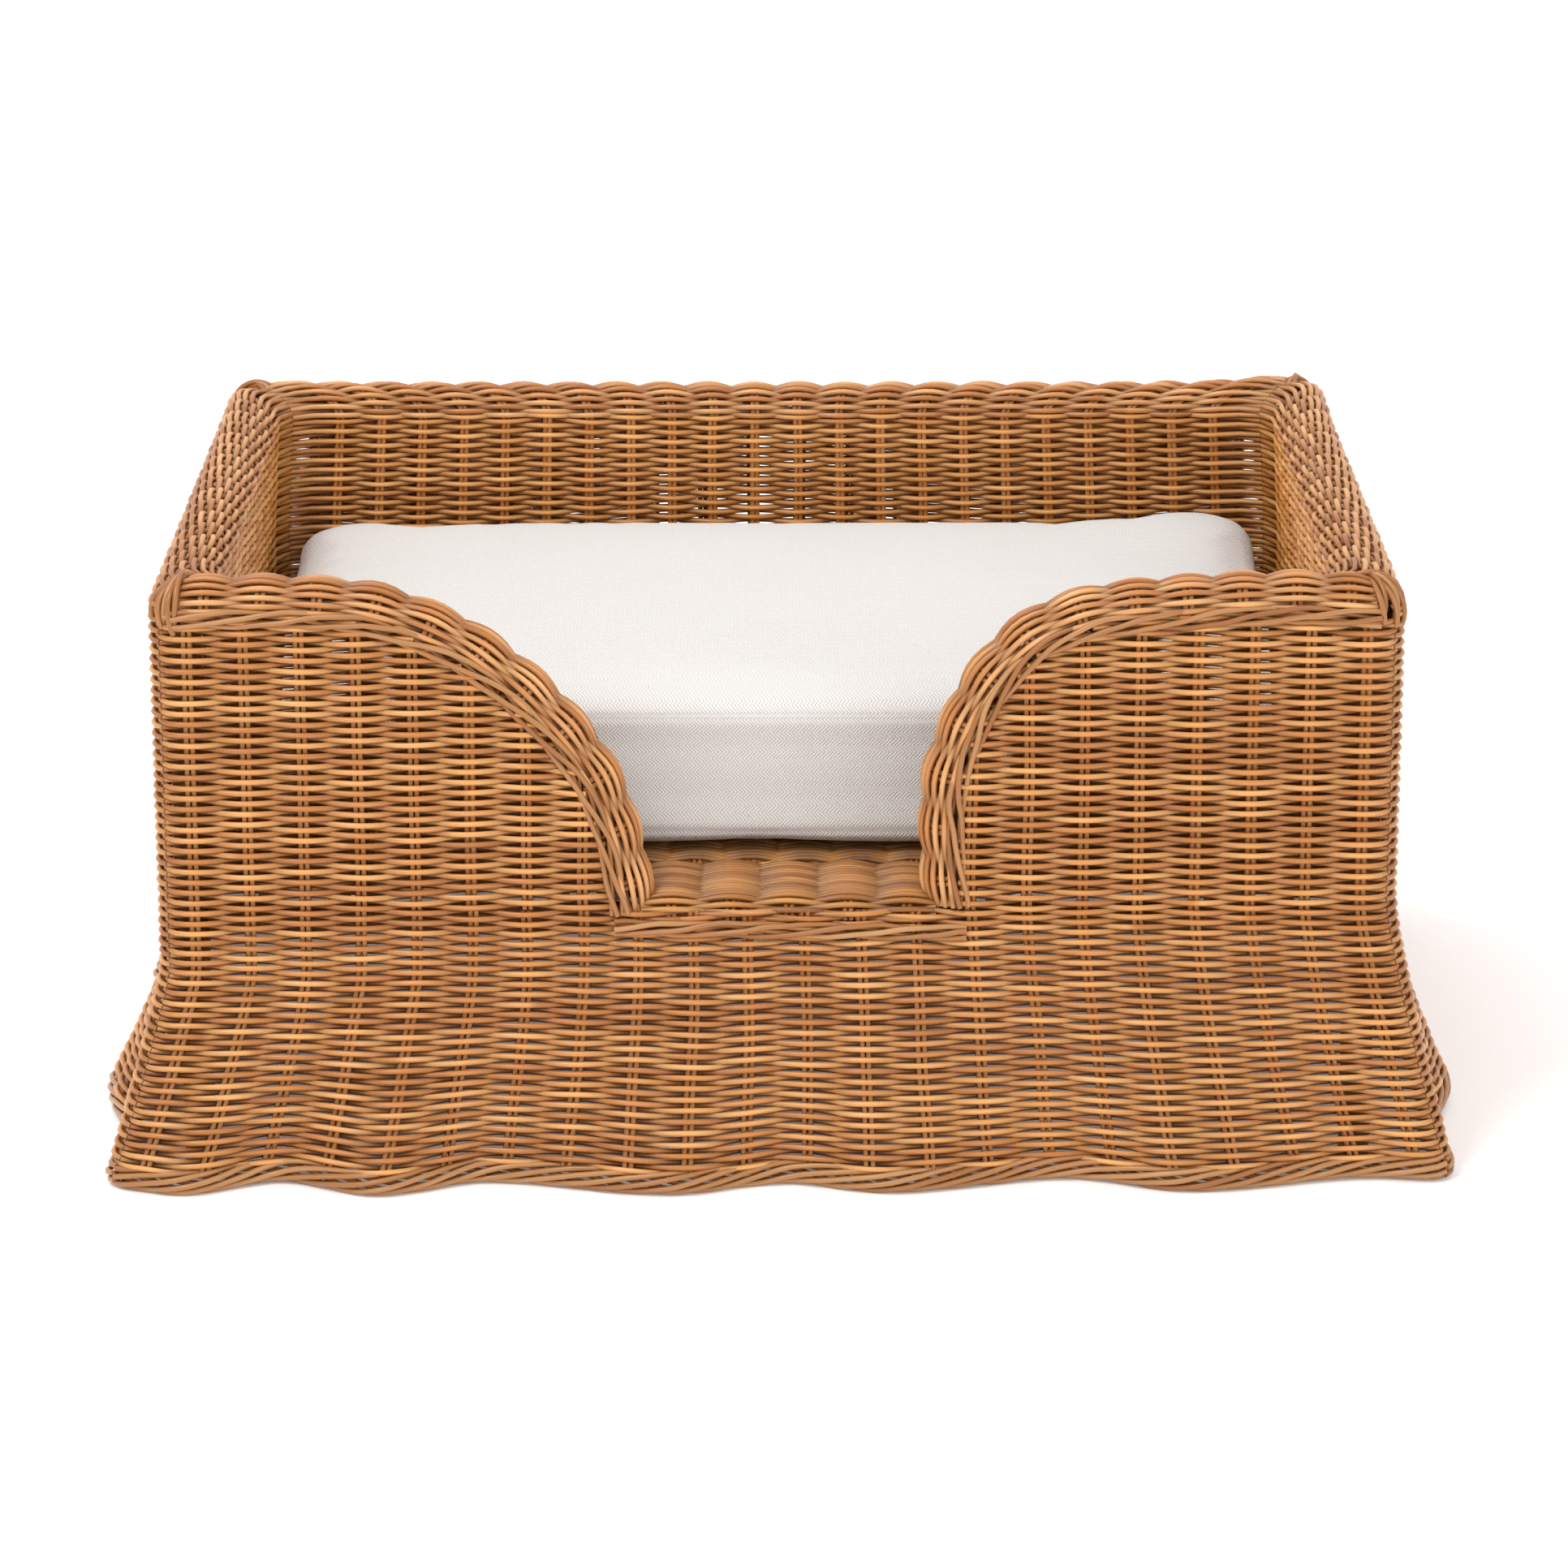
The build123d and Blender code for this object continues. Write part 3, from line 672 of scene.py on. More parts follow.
wound_place = node(rope, "ShaderNodeVectorMath", {0: wound_place, 1: wobble}, operation="ADD")
rope_grain = node(rope, "ShaderNodeCombineXYZ", {0: run, 1: row})
grained = node(rope, "GeometryNodeStoreNamedAttribute", {
    0: strands, 2: "grain", 3: rope_grain,
}, data_type="FLOAT_VECTOR")
tint = node(rope, "FunctionNodeRandomValue", {
    2: 0.0, 3: 1.0, 7: row, 8: given["Seed"],
}, data_type="FLOAT")
tinted = node(rope, "GeometryNodeStoreNamedAttribute", {
    0: grained, 2: "tint", 3: tint.outputs[1],
}, data_type="FLOAT")
turned_rope = node(rope, "GeometryNodeSetPosition", {0: tinted, 2: wound_place})
laid = node(rope, "GeometryNodeGroup", node_tree=lay)
rope.links.new(turned_rope.outputs[0], laid.inputs["Flat"])
for socket in LAY_SIZES:
    rope.links.new(given[socket], laid.inputs[socket])
node(rope, "NodeGroupOutput", {0: laid})

border_rattan = core_rattan("peeled_rattan_core_border", "#8A4D20", "#B9773E", "#E0A76C", 0.33)


def roped(name, at, length, height, cells=(160, 2), **changed):
    """A twisted border of strands along a narrow strip."""
    sizes = {
        "Length": length, "Height": height, "Strands": 7, "Twist Pitch": 0.16, "Half Height": 0.0055,
        "Half Thickness": 0.0042, "Strand Radius": STRAND / 2, "Point Spacing": 0.005, "Looseness": 0.002,
        "Sides": 6, "Seed": 1, "Material": border_rattan,
    }
    for size, value in changed.items():
        sizes[size.replace("_", " ")] = value
    return run_tree(rope, guide(name + "_guide", at, *cells), name, sizes)


def border_piece(piece, *stands_for):
    """Makes a finished border piece the basket's, in place of the CAD nodes it stands for."""
    if stands_for:
        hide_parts(*stands_for)
    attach(piece, "basket")


BRAID_HEIGHT = 0.016
BRAID_MIDDLE = 0.0074  # the height of its middle over the floor
HEM_STRETCH = 1.08  # the hem is this much longer than its wall, as it goes out and in


def hem_at(side):
    """A strip that stands on the floor along the foot of the skirt, a hair higher where it goes in."""

    def at(u, v):
        foot = 0 * u + HEM
        x, y = on_skirt(side, u, foot)
        ride_up = np.clip(0.030 - flare(side, u, foot), 0, 0.02) * 0.05
        return x, y, BRAID_MIDDLE + BRAID_HEIGHT * (v - 0.5) + ride_up

    return at


for side in SIDE_TURNS:
    hem_length = side_length(side) * HEM_STRETCH
    hem = roped("hem_braid_roll_" + side, hem_at(side), hem_length, BRAID_HEIGHT, (260, 2),
                Seed=11 + SIDE_TURNS[side])
    border_piece(hem, "hem_braid_" + side)

# ======================================================================================
# Inner walls
# A second skin of the same weave lines the bed. It hangs from the rim and leans back a few
# millimetres towards the poles, with rounder corners than the outside has.
# ======================================================================================

LINER_BEND = 0.035  # the inner skin's rounder corner
deck_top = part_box("woven_deck")[1].z
liner_rattan = core_rattan("peeled_rattan_core_inside", "#A05F27", "#CE8943", "#EDAE69", 0.38, -1.0)


def liner_at(side):
    """The inner wall's middle line: 29 mm in from the outer one at the rim, less lower down."""

    def at(u, v):
        z = deck_top + 0.001 + (SHOULDER - deck_top - 0.001) * v
        inset = -np.interp(z, [deck_top, 0.262, SHOULDER], [0.0235, 0.0245, 0.029])
        x, y = on_side(side, u, inset, inset, inset, LINER_BEND)
        return x, y, z + rim_lift(x, y) * v

    return at


for spot, (side, keep) in WALL_SPOTS.items():
    woven_piece(
        "weave_liner_" + spot, "liner_" + spot, "woven_rattan_liner", liner_at(side),
        side_length(side), SHOULDER - deck_top, SIDE_STAKES[side], (240, 48), keep,
        Seed=20 + SIDE_TURNS[side], Material=liner_rattan,
        Points_per_Stake=6.0 if side == "back" else 5.0,
    )

# ======================================================================================
# Deck and sill
# The cushion lies on a woven sheet over five cross slats. In the entry the rows run on to
# the front, where they roll over the edge and go down into the skirt.
# ======================================================================================

DECK_LENGTH, DECK_DEPTH = 0.632, 0.444
deck_middle = deck_top - WEAVE / 2
SILL_LEFT, SILL_LENGTH = -0.0765, 0.1665  # its left end, and how far it runs from there
SILL_OVER = 0.0770  # from its foot over the roll to its back edge
SILL_ROLL = 0.010
SILL_ROWS = 34
SILL_BACK = -0.1748  # the deck's rows start behind this line in the entry


def deck_at(u, v):
    """The deck's middle surface, flat, inside the inner walls."""
    return DECK_LENGTH / 2 * (2 * u - 1), DECK_DEPTH / 2 * (2 * v - 1), 0 * u + deck_middle


def beside_sill(place):
    """Above 0 where the deck is clear of the sill, which has its own weave in the entry."""
    left, right = SILL_LEFT + 0.0045, SILL_LEFT + SILL_LENGTH - 0.005
    past_end = np.maximum(left - place[:, :, 0], place[:, :, 0] - right)
    return np.maximum(past_end, place[:, :, 1] - SILL_BACK)


woven_piece(
    "weave_deck", "woven_deck", "woven_rattan", deck_at, DECK_LENGTH, DECK_DEPTH, 20, (158, 111),
    beside_sill, Seed=31, Material=liner_rattan, Points_per_Stake=4.0, Sides=4, Swing=0.0024,
)


def sill_at(u, v):
    """The sill's middle surface: up the front, over a quarter roll and back to the deck."""
    run = v * SILL_OVER
    turn = np.clip(run / SILL_ROLL, 0, math.pi / 2)
    y = -HALF_DEPTH + SILL_ROLL * (1 - np.cos(turn)) + np.clip(run - SILL_ROLL * math.pi / 2, 0, None)
    z = deck_middle - SILL_ROLL * (1 - np.sin(turn))
    return SILL_LEFT + SILL_LENGTH * u, y, z


# The same core in darker, browner colours, as painted shade: the sill lies shaded by the entry's trims.
sill_rattan_shaded = core_rattan("peeled_rattan_core_sill_shaded", "#69370F", "#9B5F28", "#C88B48", 0.33)
woven_piece(
    "weave_sill", "entry_sill", "rattan_border", sill_at, SILL_LENGTH, SILL_OVER, 5, (8, 60),
    Seed=33, Material=sill_rattan_shaded, Row_Pitch=SILL_OVER / SILL_ROWS, Swing=0.0027, Sides=6, Sway=0.001,
)

# ======================================================================================
# Rim
# The stakes are bent over the top pole and tied down, and close rows are woven over it, so
# the top edge is a soft roll with a scallop at every stake pair.
# ======================================================================================

ROLL_BASE = 0.329  # the height of the roll's middle
ROLL_ROUND = math.pi * ROLL  # half way round the roll
ROLL_ROWS = 20
ROLL_SWING = 0.0031


def rim_at(side):
    """Half a roll over the top pole, from the outer wall to the inner one."""

    def at(u, v):
        turn = math.pi * v
        inset = -ROLL * (1 - np.cos(turn))
        bend = CORNER + (LINER_BEND - CORNER) * (-inset / (2 * ROLL))
        x, y = on_side(side, u, inset, inset, inset, bend)
        return x, y, ROLL_BASE + rim_lift(x, y) + ROLL * np.sin(turn)

    return at


for side in ("right", "back", "left"):
    woven_piece(
        "rim_roll_" + side, "rim_" + side, "rattan_border", rim_at(side),
        side_length(side), ROLL_ROUND, SIDE_STAKES[side], (240, 24),
        Seed=40 + SIDE_TURNS[side], Material=border_rattan, Row_Pitch=ROLL_ROUND / ROLL_ROWS, Sides=6,
        Sway=0.002, Swing=ROLL_SWING,
    )

# ======================================================================================
# Entry trims
# The same roll follows each side of the entry down to the sill, over a bent pole, with four
# strands twisted together where it meets the rows of the wall.
# ======================================================================================


def entry_path(outline, inset, sign, limit):
    """The entry's edge moved into the wall by an inset, and its direction out of the wall."""
    along = np.gradient(outline, axis=0)
    out = np.stack([-along[:, 1], along[:, 0]], axis=1) * sign
    out /= np.linalg.norm(out, axis=1, keepdims=True)
    path = outline - out * inset
    kept = np.abs(outline[:, 0]) < limit
    path, out = path[kept], out[kept]
    run = np.concatenate([[0], np.cumsum(np.linalg.norm(np.diff(path, axis=0), axis=1))])
    even = np.linspace(0, run[-1], 161)
    path = np.stack([np.interp(even, run, path[:, i]) for i in (0, 1)], axis=1)
    out = np.stack([np.interp(even, run, out[:, i]) for i in (0, 1)], axis=1)
    out /= np.linalg.norm(out, axis=1, keepdims=True)
    return path, out, run[-1]


def along_entry(path, out, u):
    """Places in X and Z along an entry path, and the directions out of the wall there."""
    step = np.linspace(0, 1, len(path))
    place = [np.interp(u, step, path[:, i]) for i in (0, 1)]
    away = [np.interp(u, step, out[:, i]) for i in (0, 1)]
    return place, away


ENTRY_PITCH = 0.031  # from one stake pair to the next along the trim
TRIM_INSET, TRIM_END = 0.019, 0.336  # the roll's middle inside the edge, and how far it runs out
TRIM_Y = -0.236  # the bent pole's line, between the front's two skins
CORD_INSET, CORD_END = 0.0215, 0.338
CORD_HEIGHT = 0.012
CORD_Y = -0.2535  # the twisted strands lie on the face of the outer skin

for spot, outline, sign in (("left", ENTRY_LEFT, 1), ("right", ENTRY_RIGHT, -1)):
    path, out, length = entry_path(outline, TRIM_INSET, sign, TRIM_END)

    def trim_at(u, v, path=path[::sign], out=out[::sign]):
        place, away = along_entry(path, out, u)
        turn = math.pi * (v - 0.5)
        reach = ROLL * np.cos(turn)
        return place[0] + reach * away[0], TRIM_Y + ROLL * np.sin(turn), place[1] + reach * away[1]

    woven_piece(
        "entry_roll_" + spot, "entry_trim_" + spot, "rattan_border", trim_at, length,
        ROLL_ROUND, round(length / ENTRY_PITCH), (160, 24),
        Seed=50 + sign, Material=border_rattan, Row_Pitch=ROLL_ROUND / ROLL_ROWS, Sides=6, Sway=0.003,
        Swing=ROLL_SWING, Looseness=0.002,
    )
    path, out, length = entry_path(outline, CORD_INSET, sign, CORD_END)

    def cord_at(u, v, path=path[::sign], out=out[::sign]):
        place, away = along_entry(path, out, u)
        reach = CORD_HEIGHT * (v - 0.5)
        return place[0] + reach * away[0], 0 * u + CORD_Y, place[1] + reach * away[1]

    border_piece(roped(
        "entry_twist_" + spot, cord_at, length, CORD_HEIGHT, Strands=4, Twist_Pitch=0.14,
        Half_Height=0.0042, Half_Thickness=0.0019, Seed=60 + sign, Looseness=0.003,
    ))

SILL_CORD_LENGTH = 0.199
SILL_CORD_HEIGHT = 0.010


def sill_cord_at(u, v):
    """The twisted strands that run on under the sill, from one trim to the other."""
    x = -0.092 + SILL_CORD_LENGTH * u
    return x, 0 * u - 0.2545, 0.1475 - 0.003 * u + SILL_CORD_HEIGHT * (v - 0.5)


border_piece(roped(
    "sill_twist", sill_cord_at, SILL_CORD_LENGTH, SILL_CORD_HEIGHT, (40, 2), Strands=4, Twist_Pitch=0.15,
    Half_Height=0.0036, Half_Thickness=0.0018, Seed=64, Looseness=0.003,
))

# ======================================================================================
# Corner knots
# At each corner spare strand ends are whipped over the roll and tucked in, which hides the
# place where two sides' borders meet over the corner post.
# ======================================================================================

POST_X, POST_Y = 0.331, 0.236
LOOP_LENGTH = 0.058
LOOP_WIDTH = 0.008

for spot, sx, sy in (
    ("front_left", -1, -1), ("front_right", 1, -1), ("back_left", -1, 1), ("back_right", 1, 1),
):
    loops = []
    for k, fan in enumerate((-0.42, 0.1, 0.5)):
        heading = math.atan2(sy, sx) + fan

        def loop_at(u, v, heading=heading, k=k):
            # Each loop starts lower and reaches out further than the one before.
            turn = math.radians(-16 - 9 * k) + math.radians(186) * u
            radius = 0.0175 + 0.0008 * k - (0.002 if sy > 0 else 0)
            flat = radius * np.cos(turn)
            side = LOOP_WIDTH * (v - 0.5)
            x = sx * POST_X + flat * math.cos(heading) + side * math.sin(heading)
            y = sy * POST_Y + flat * math.sin(heading) - side * math.cos(heading)
            return x, y, ROLL_BASE + rim_lift(x, y) + radius * np.sin(turn)

        loops.append(roped(
            "loop", loop_at, LOOP_LENGTH, LOOP_WIDTH, (40, 2), Strands=2, Twist_Pitch=0.07,
            Half_Height=0.0019, Half_Thickness=0.0013, Seed=70 + k, Looseness=0.001, Point_Spacing=0.003,
        ))
    with bpy.context.temp_override(
        active_object=loops[0], selected_editable_objects=loops, selected_objects=loops,
    ):
        bpy.ops.object.join()
    knot = loops[0]
    knot.name = "corner_whipping_" + spot
    border_piece(knot, "corner_knot_" + spot)

# ======================================================================================
# Poles, slats and nails
# Thicker rattan poles with their skin scraped off make the frame inside the two skins, with
# five slats under the deck, all held by small round-headed nails.
# ======================================================================================

# Fibres about 1 mm apart show as fine pale and brown lines; they are finer than this in life.
pole_rattan, tree = blank_finish("scraped_rattan_pole")
where = node(tree, "ShaderNodeTexCoord").outputs["Object"]
fibres = node(tree, "ShaderNodeTexNoise", {"Vector": where, "Scale": 260.0, "Detail": 3.0})
blotches = node(tree, "ShaderNodeTexNoise", {"Vector": where, "Scale": 14.0, "Detail": 2.0})
shade = node(tree, "ShaderNodeMath", {0: fibres, 1: 0.4, 2: blotches}, operation="MULTIPLY_ADD")
shade = node(tree, "ShaderNodeMapRange", {0: shade, 1: 0.4, 2: 1.0})
colour = node(tree, "ShaderNodeMix", {
    0: shade, 6: linear("#7A4A22"), 7: linear("#BD8550"),
}, data_type="RGBA")
bump = node(tree, "ShaderNodeBump", {"Strength": 0.3, "Distance": 0.0004, "Height": fibres})
shader = node(tree, "ShaderNodeBsdfPrincipled", {
    "Base Color": colour.outputs[2], "Roughness": 0.55, "Normal": bump,
})
node(tree, "ShaderNodeOutputMaterial", {"Surface": shader})

# Bright drawn wire nails, a little dulled: grey, fairly smooth, with faint tarnish.
nail_steel, tree = blank_finish("drawn_steel_nail")
where = node(tree, "ShaderNodeTexCoord").outputs["Object"]
tarnish = node(tree, "ShaderNodeTexNoise", {"Vector": where, "Scale": 400.0, "Detail": 3.0})
colour = node(tree, "ShaderNodeMix", {
    0: tarnish, 6: linear("#6E6A66"), 7: linear("#C4C1BC"),
}, data_type="RGBA")
rough = node(tree, "ShaderNodeMapRange", {0: tarnish, 3: 0.45, 4: 0.28})
shader = node(tree, "ShaderNodeBsdfPrincipled", {
    "Base Color": colour.outputs[2], "Metallic": 1.0, "Roughness": rough,
})
node(tree, "ShaderNodeOutputMaterial", {"Surface": shader})


def finish_node(name, material):
    """Gives a CAD node its real finish."""
    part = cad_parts[name]
    part.data.materials.clear()
    part.data.materials.append(material)


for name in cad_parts:
    if name.startswith(("corner_post", "top_rail", "deck_rail", "deck_slat", "entry_hoop")):
        finish_node(name, pole_rattan)
finish_node("frame_nails", nail_steel)

# ======================================================================================
# Cushion
# A foam block in a boxed cotton cover: a top panel, a side band and a bottom panel sewn
# together, with the cloth swelling a little between its seams.
# ======================================================================================

cover_low, cover_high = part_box("cushion_cover")
BLOCK_LOW = Vector((cover_low.x + 0.006, cover_low.y + 0.005, cover_low.z + 0.0015))
BLOCK_HIGH = Vector((cover_high.x - 0.006, cover_high.y - 0.006, cover_high.z - 0.001))
CORNER_ROUND = 0.034
TOP_SEAM = cover_high.z - 0.0085
BOTTOM_SEAM = cover_low.z + 0.010
CROWN = 0.0085  # how far the middle of the top stands over its seams
BACK_RISE = 0.017  # how much higher the back stands than the front
FULL_CORNER = 0.007  # how much fuller the back right corner is stuffed
FRONT_FOLD = 0.0035  # how far the lower front edge is pushed up in the middle
SWELL_FRAMES = 20


def block_outline(inset, steps=10):
    """The cushion's outline in plan, with round corners, moved in by an inset."""
    radius = CORNER_ROUND - inset
    points = []
    for cx, cy, start in (
        (BLOCK_HIGH.x - CORNER_ROUND, BLOCK_HIGH.y - CORNER_ROUND, 0),
        (BLOCK_LOW.x + CORNER_ROUND, BLOCK_HIGH.y - CORNER_ROUND, 90),
        (BLOCK_LOW.x + CORNER_ROUND, BLOCK_LOW.y + CORNER_ROUND, 180),
        (BLOCK_HIGH.x - CORNER_ROUND, BLOCK_LOW.y + CORNER_ROUND, 270),
    ):
        for k in range(steps + 1):
            turn = math.radians(start + 90 * k / steps)
            points.append((cx + radius * math.cos(turn), cy + radius * math.sin(turn)))
    return points


rings = [
    (0.005, BLOCK_LOW.z), (0.0015, BLOCK_LOW.z + 0.0015), (0.0, BLOCK_LOW.z + 0.006),
    (0.0, BLOCK_HIGH.z - 0.010), (0.003, BLOCK_HIGH.z - 0.003), (0.010, BLOCK_HIGH.z),
]
corners, faces, around = [], [], len(block_outline(0))
for inset, z in rings:
    corners += [(x, y, z) for x, y in block_outline(inset)]
for ring in range(len(rings) - 1):
    for k in range(around):
        a, b = ring * around + k, ring * around + (k + 1) % around
        faces.append((a, b, b + around, a + around))
faces.append(tuple(reversed(range(around))))
faces.append(tuple(range((len(rings) - 1) * around, len(rings) * around)))
cover_mesh = bpy.data.meshes.new("cushion_cotton_cover")
cover_mesh.from_pydata(corners, [], faces)
cover = bpy.data.objects.new("cushion_cotton_cover", cover_mesh)
scene.collection.objects.link(cover)
remesh = cover.modifiers.new("even_cloth", "REMESH")
remesh.mode = "VOXEL"
remesh.voxel_size = 0.0055
stitched = bpy.data.meshes.new_from_object(cover.evaluated_get(bpy.context.evaluated_depsgraph_get()))
cover.modifiers.remove(remesh)
cover.data = stitched
before = np.empty(len(stitched.vertices) * 3, np.float32)
stitched.vertices.foreach_get("co", before)
before = before.reshape(-1, 3)
cloth = cover.modifiers.new("swell", "CLOTH")
cloth.settings.quality = 5
cloth.settings.use_pressure = True
cloth.settings.uniform_pressure_force = 4.0
cloth.settings.effector_weights.gravity = 0.0
cloth.point_cache.frame_start = 1
cloth.point_cache.frame_end = SWELL_FRAMES
for frame_number in range(1, SWELL_FRAMES + 1):
    scene.frame_set(frame_number)
swollen = cover.evaluated_get(bpy.context.evaluated_depsgraph_get())
after = np.empty(len(stitched.vertices) * 3, np.float32)
swollen.data.vertices.foreach_get("co", after)
after = after.reshape(-1, 3)
cover.modifiers.remove(cloth)
scene.frame_set(1)
# The cloth moves 8 mm at most, and 4.5 mm at the seams, because the foam and the seams hold it.
moved = after - before
far = np.linalg.norm(moved, axis=1)
seam_gap = np.minimum(np.abs(before[:, 2] - TOP_SEAM), np.abs(before[:, 2] - BOTTOM_SEAM))
allowed = 0.0045 + 0.0035 * np.clip(seam_gap / 0.02, 0, 1)
moved *= np.minimum(1, allowed / np.maximum(far, 1e-9))[:, None]
shape = before + moved
span_x = np.clip((shape[:, 0] - cover_low.x) / (cover_high.x - cover_low.x), 0, 1)
span_y = np.clip((shape[:, 1] - cover_low.y) / (cover_high.y - cover_low.y), 0, 1)
crown = np.clip(4 * span_x * (1 - span_x), 0, 1) ** 0.45 * np.clip(4 * span_y * (1 - span_y), 0, 1) ** 0.45
on_top = np.clip((shape[:, 2] - 0.5 * (cover_low.z + cover_high.z)) / 0.04, 0, 1)
shape[:, 2] += CROWN * crown * on_top
puff = np.exp(-((span_x - 0.93) ** 2) / 0.012 - ((span_y - 0.9) ** 2) / 0.02)
shape[:, 2] += (FULL_CORNER * puff + BACK_RISE * span_y**1.5) * on_top
lower_edge = np.clip((cover_low.z + 0.02 - shape[:, 2]) / 0.02, 0, 1) * np.clip(1 - span_y / 0.12, 0, 1)
shape[:, 2] += FRONT_FOLD * lower_edge * np.exp(-((shape[:, 0] + 0.01) ** 2) / 0.0012)
shape[:, 0] = np.clip(shape[:, 0], cover_low.x - 0.001, cover_high.x + 0.001)
shape[:, 1] = np.clip(shape[:, 1], cover_low.y - 0.002, cover_high.y - 0.0004)
shape[:, 2] = np.maximum(shape[:, 2], cover_low.z - 0.0005)
stitched.vertices.foreach_set("co", shape.ravel())
stitched.update()
smoother = cover.modifiers.new("finer_cloth", "SUBSURF")
smoother.levels = 1
smoother.render_levels = 1
finer = bpy.data.meshes.new_from_object(cover.evaluated_get(bpy.context.evaluated_depsgraph_get()))
cover.modifiers.remove(smoother)
cover.data = finer
finer.name = "cushion_cotton_cover"
spots = np.empty(len(finer.vertices) * 3, np.float32)
finer.vertices.foreach_get("co", spots)
spots = spots.reshape(-1, 3)
# Each seam is a fine groove where two panels are sewn and the allowance pulls the cloth in.
SEAM_DEPTH = 0.0012
SEAM_WIDTH = 0.0016
depth = np.zeros(len(spots), np.float32)
for seam in (TOP_SEAM - SEAM_DEPTH, BOTTOM_SEAM):
    depth += SEAM_DEPTH * np.exp(-(((spots[:, 2] - seam) / SEAM_WIDTH) ** 2))
inward = np.zeros_like(spots)
# The cloth is pulled in only on the side band, which starts this far from the middle each way.
for axis, band_starts in ((0, 0.295), (1, 0.18)):
    from_middle = spots[:, axis] - (cover_low[axis] + cover_high[axis]) / 2
    inward[:, axis] = -np.sign(from_middle) * (np.abs(from_middle) > band_starts)
spots += inward * depth[:, None]
finer.vertices.foreach_set("co", spots.ravel())
finer.shade_smooth()
finer.update()

# Undyed cotton herringbone: off-white, matt and slightly fuzzy, with V-shaped twill lines in
# 4 mm bands, and now and then a fleck of cotton seed. The twill lines are about 1.7 mm apart in
# life and are drawn 2.2 mm apart, so that they show. The flecks stand some 18 mm apart.
TWILL = 0.0022
BAND = 0.004
cotton, tree = blank_finish("undyed_cotton_herringbone")
coordinate = node(tree, "ShaderNodeTexCoord").outputs
where = coordinate["Object"]
place = node(tree, "ShaderNodeSeparateXYZ", {0: where}).outputs
facing = node(tree, "ShaderNodeSeparateXYZ", {0: coordinate["Normal"]}).outputs
# The twill runs round the sides, and from side to side over the top.
up_face = node(tree, "ShaderNodeMath", {0: facing[2]}, operation="ABSOLUTE")
up_face = node(tree, "ShaderNodeMath", {0: up_face, 1: 0.72}, operation="GREATER_THAN")
end_face = node(tree, "ShaderNodeMath", {0: facing[0]}, operation="ABSOLUTE")
end_face = node(tree, "ShaderNodeMath", {0: end_face, 1: 0.72}, operation="GREATER_THAN")
weft = node(tree, "ShaderNodeMix", {0: end_face, 2: place[0], 3: place[1]}, data_type="FLOAT")
warp = node(tree, "ShaderNodeMix", {0: up_face, 2: place[2], 3: place[1]}, data_type="FLOAT")
band = node(tree, "ShaderNodeMath", {0: warp, 1: BAND}, operation="PINGPONG")
slope = node(tree, "ShaderNodeMath", {0: weft, 1: band}, operation="ADD")
thread = node(tree, "ShaderNodeMath", {0: slope, 1: 2 * math.pi / TWILL}, operation="MULTIPLY")
twill = node(tree, "ShaderNodeMath", {0: thread}, operation="SINE")
spun = node(tree, "ShaderNodeTexNoise", {"Vector": where, "Scale": 900.0, "Detail": 2.0})
threads = node(tree, "ShaderNodeMath", {0: spun, 1: 1.3, 2: twill}, operation="MULTIPLY_ADD")
bump = node(tree, "ShaderNodeBump", {"Strength": 0.55, "Distance": 0.0003, "Height": threads})
cloud = node(tree, "ShaderNodeTexNoise", {"Vector": where, "Scale": 9.0, "Detail": 3.0})
line_shade = node(tree, "ShaderNodeMath", {0: twill, 1: 2.4, 2: cloud}, operation="MULTIPLY_ADD")
line_shade = node(tree, "ShaderNodeMapRange", {0: line_shade, 1: -2.4, 2: 2.6})
yarn = node(tree, "ShaderNodeMix", {
    0: line_shade, 6: linear("#C5C0BB"), 7: linear("#E5E2DF"),
}, data_type="RGBA").outputs[2]
# The sewn edge between top panel and side band gets a fine pale line, a painted highlight along the seam's
# ridge, with the groove's shadow under it.
seam_highlight = node(tree, "ShaderNodeMath", {0: place[2], 1: TOP_SEAM}, operation="SUBTRACT")
seam_highlight = node(tree, "ShaderNodeMath", {0: seam_highlight}, operation="ABSOLUTE")
seam_highlight = node(tree, "ShaderNodeMapRange", {0: seam_highlight, 1: 0.0004, 2: 0.0012, 3: 0.7, 4: 0.0})
yarn = node(tree, "ShaderNodeMix", {
    0: seam_highlight, 6: yarn, 7: linear("#F6F2EE"),
}, data_type="RGBA").outputs[2]
flecks = node(tree, "ShaderNodeTexVoronoi", {"Vector": where, "Scale": 55.0})
flecks = node(tree, "ShaderNodeMapRange", {0: flecks, 1: 0.018, 2: 0.03, 3: 0.55, 4: 0.0})
yarn = node(tree, "ShaderNodeMix", {
    0: flecks, 6: yarn, 7: linear("#9A8468"),
}, data_type="RGBA").outputs[2]
shader = node(tree, "ShaderNodeBsdfPrincipled", {
    "Base Color": yarn, "Roughness": 0.88, "Normal": bump, "Sheen Weight": 0.25, "Sheen Roughness": 0.5,
})
node(tree, "ShaderNodeOutputMaterial", {"Surface": shader})
finer.materials.clear()
finer.materials.append(cotton)
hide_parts("cushion_cover", "cushion_foam")
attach(cover, "cushion")

# ======================================================================================
# Zip
# The cover closes at the back with a spiral zip on a woven cotton tape, with a small cast
# slider and pull, so that the cover comes off to be washed.
# ======================================================================================

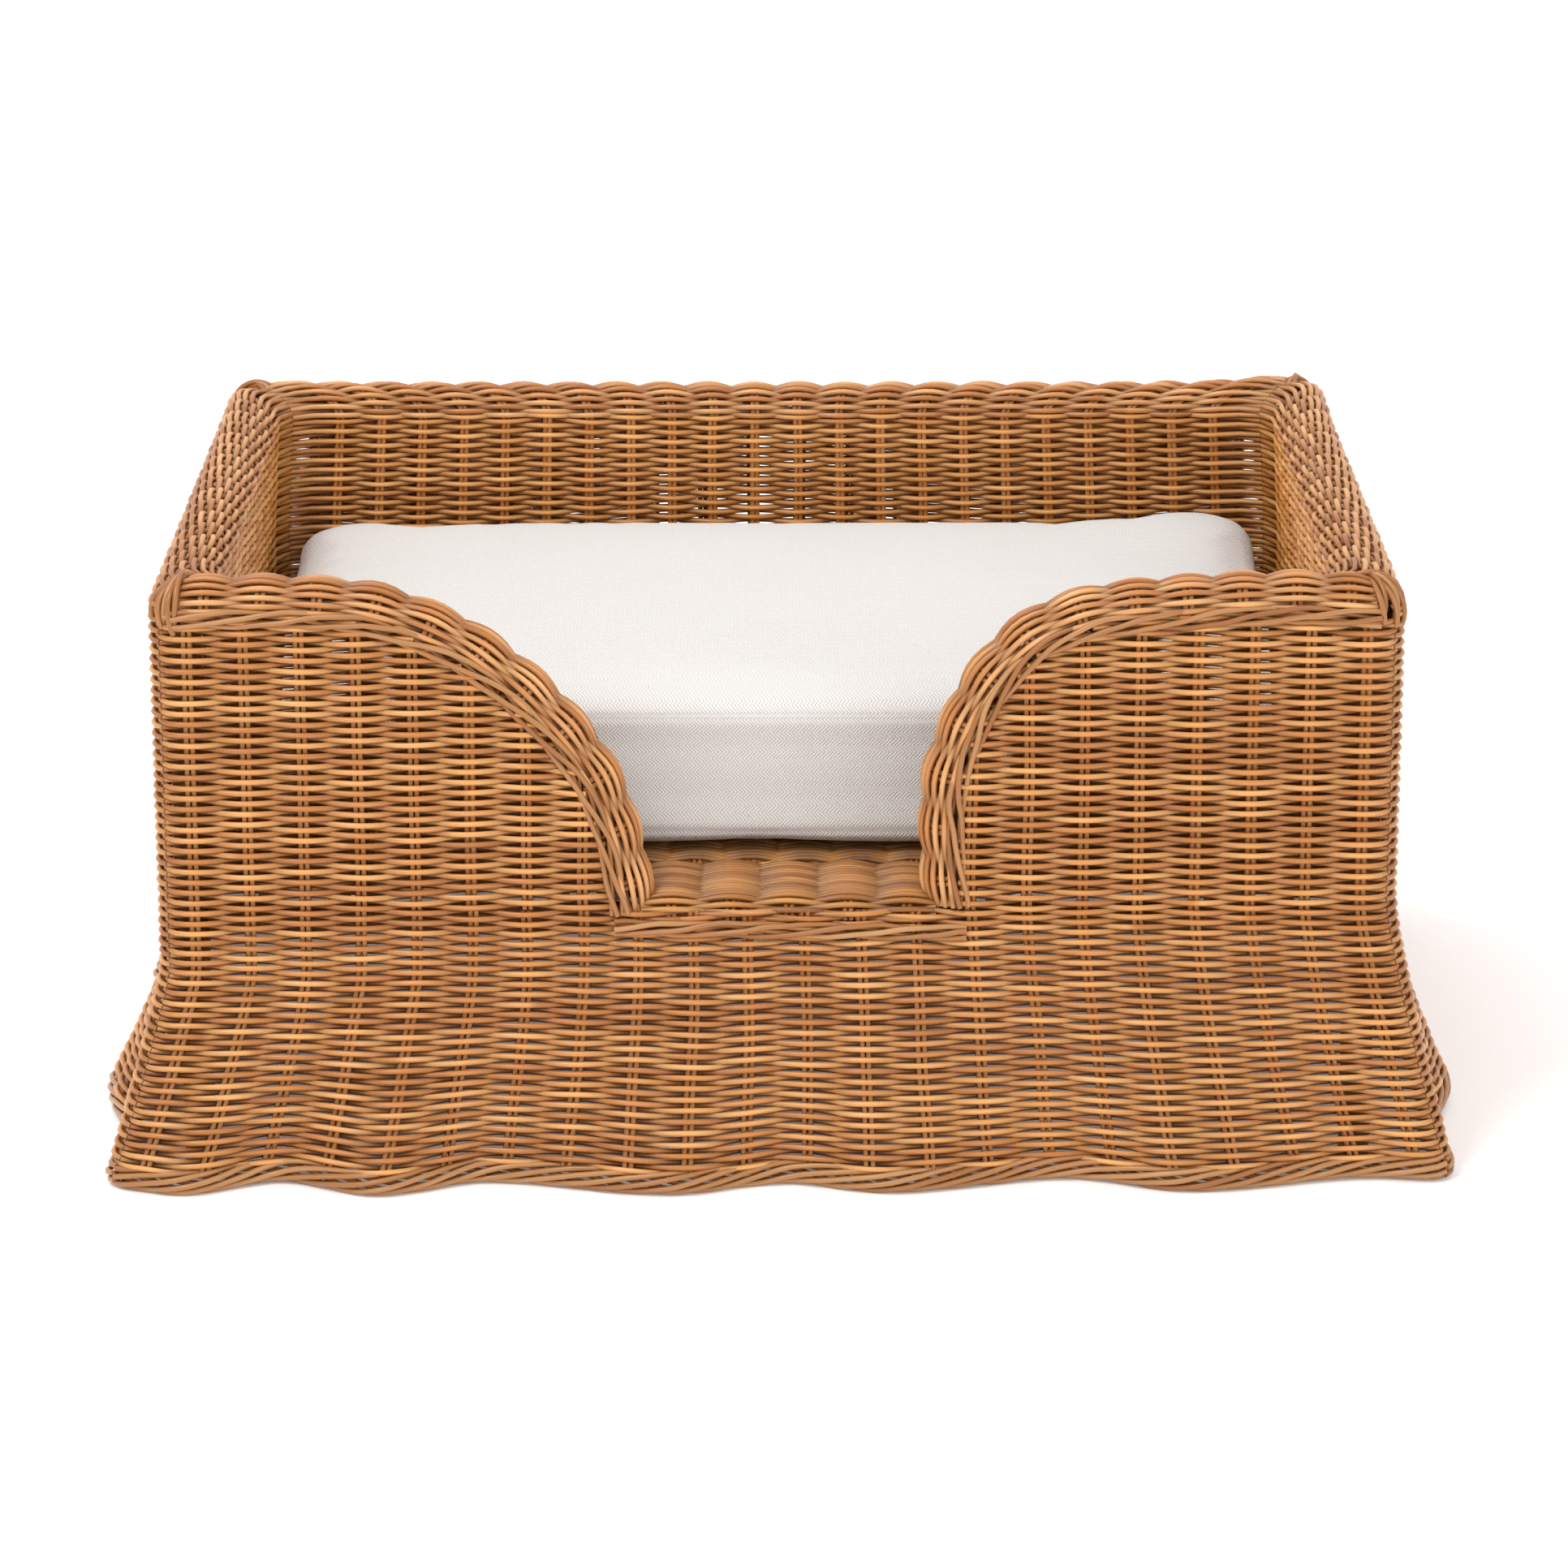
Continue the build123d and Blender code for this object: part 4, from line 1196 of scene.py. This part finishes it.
# Plain woven cotton tape: off-white and matt, with a fine rib across it every 0.8 mm in life,
# drawn every 1.6 mm so that it shows.
tape_cotton, tree = blank_finish("woven_cotton_tape")
where = node(tree, "ShaderNodeTexCoord").outputs["Object"]
rib = node(tree, "ShaderNodeTexWave", {
    "Vector": where, "Scale": 200.0, "Distortion": 0.6,
}, bands_direction="X").outputs["Fac"]
colour = node(tree, "ShaderNodeMix", {
    0: rib, 6: linear("#D3C9BE"), 7: linear("#EFE9E1"),
}, data_type="RGBA")
bump = node(tree, "ShaderNodeBump", {"Strength": 0.4, "Distance": 0.0002, "Height": rib})
shader = node(tree, "ShaderNodeBsdfPrincipled", {
    "Base Color": colour.outputs[2], "Roughness": 0.85, "Normal": bump,
})
node(tree, "ShaderNodeOutputMaterial", {"Surface": shader})
finish_node("zip_tape", tape_cotton)

# Moulded nylon spiral: off-white and a little glossy, with a turn every 1.3 mm in life, drawn
# every 2.6 mm so that it shows.
coil_nylon, tree = blank_finish("moulded_nylon_spiral")
where = node(tree, "ShaderNodeTexCoord").outputs["Object"]
turn = node(tree, "ShaderNodeTexWave", {"Vector": where, "Scale": 120.0}, bands_direction="X").outputs["Fac"]
colour = node(tree, "ShaderNodeMix", {
    0: turn, 6: linear("#B9AFA3"), 7: linear("#F0EBE4"),
}, data_type="RGBA")
bump = node(tree, "ShaderNodeBump", {"Strength": 0.8, "Distance": 0.0005, "Height": turn})
shader = node(tree, "ShaderNodeBsdfPrincipled", {
    "Base Color": colour.outputs[2], "Roughness": 0.4, "Normal": bump,
})
node(tree, "ShaderNodeOutputMaterial", {"Surface": shader})
finish_node("zip_coil", coil_nylon)

# Die-cast zinc with a nickel plate: bright grey metal, softly brushed by handling.
nickel, tree = blank_finish("nickel_plated_zinc")
where = node(tree, "ShaderNodeTexCoord").outputs["Object"]
worn = node(tree, "ShaderNodeTexNoise", {"Vector": where, "Scale": 300.0, "Detail": 4.0})
colour = node(tree, "ShaderNodeMix", {
    0: worn, 6: linear("#A8A49C"), 7: linear("#D9D6CF"),
}, data_type="RGBA")
rough = node(tree, "ShaderNodeMapRange", {0: worn, 3: 0.2, 4: 0.36})
shader = node(tree, "ShaderNodeBsdfPrincipled", {
    "Base Color": colour.outputs[2], "Metallic": 1.0, "Roughness": rough,
})
node(tree, "ShaderNodeOutputMaterial", {"Surface": shader})
finish_node("zip_slider", nickel)
finish_node("zip_pull", nickel)
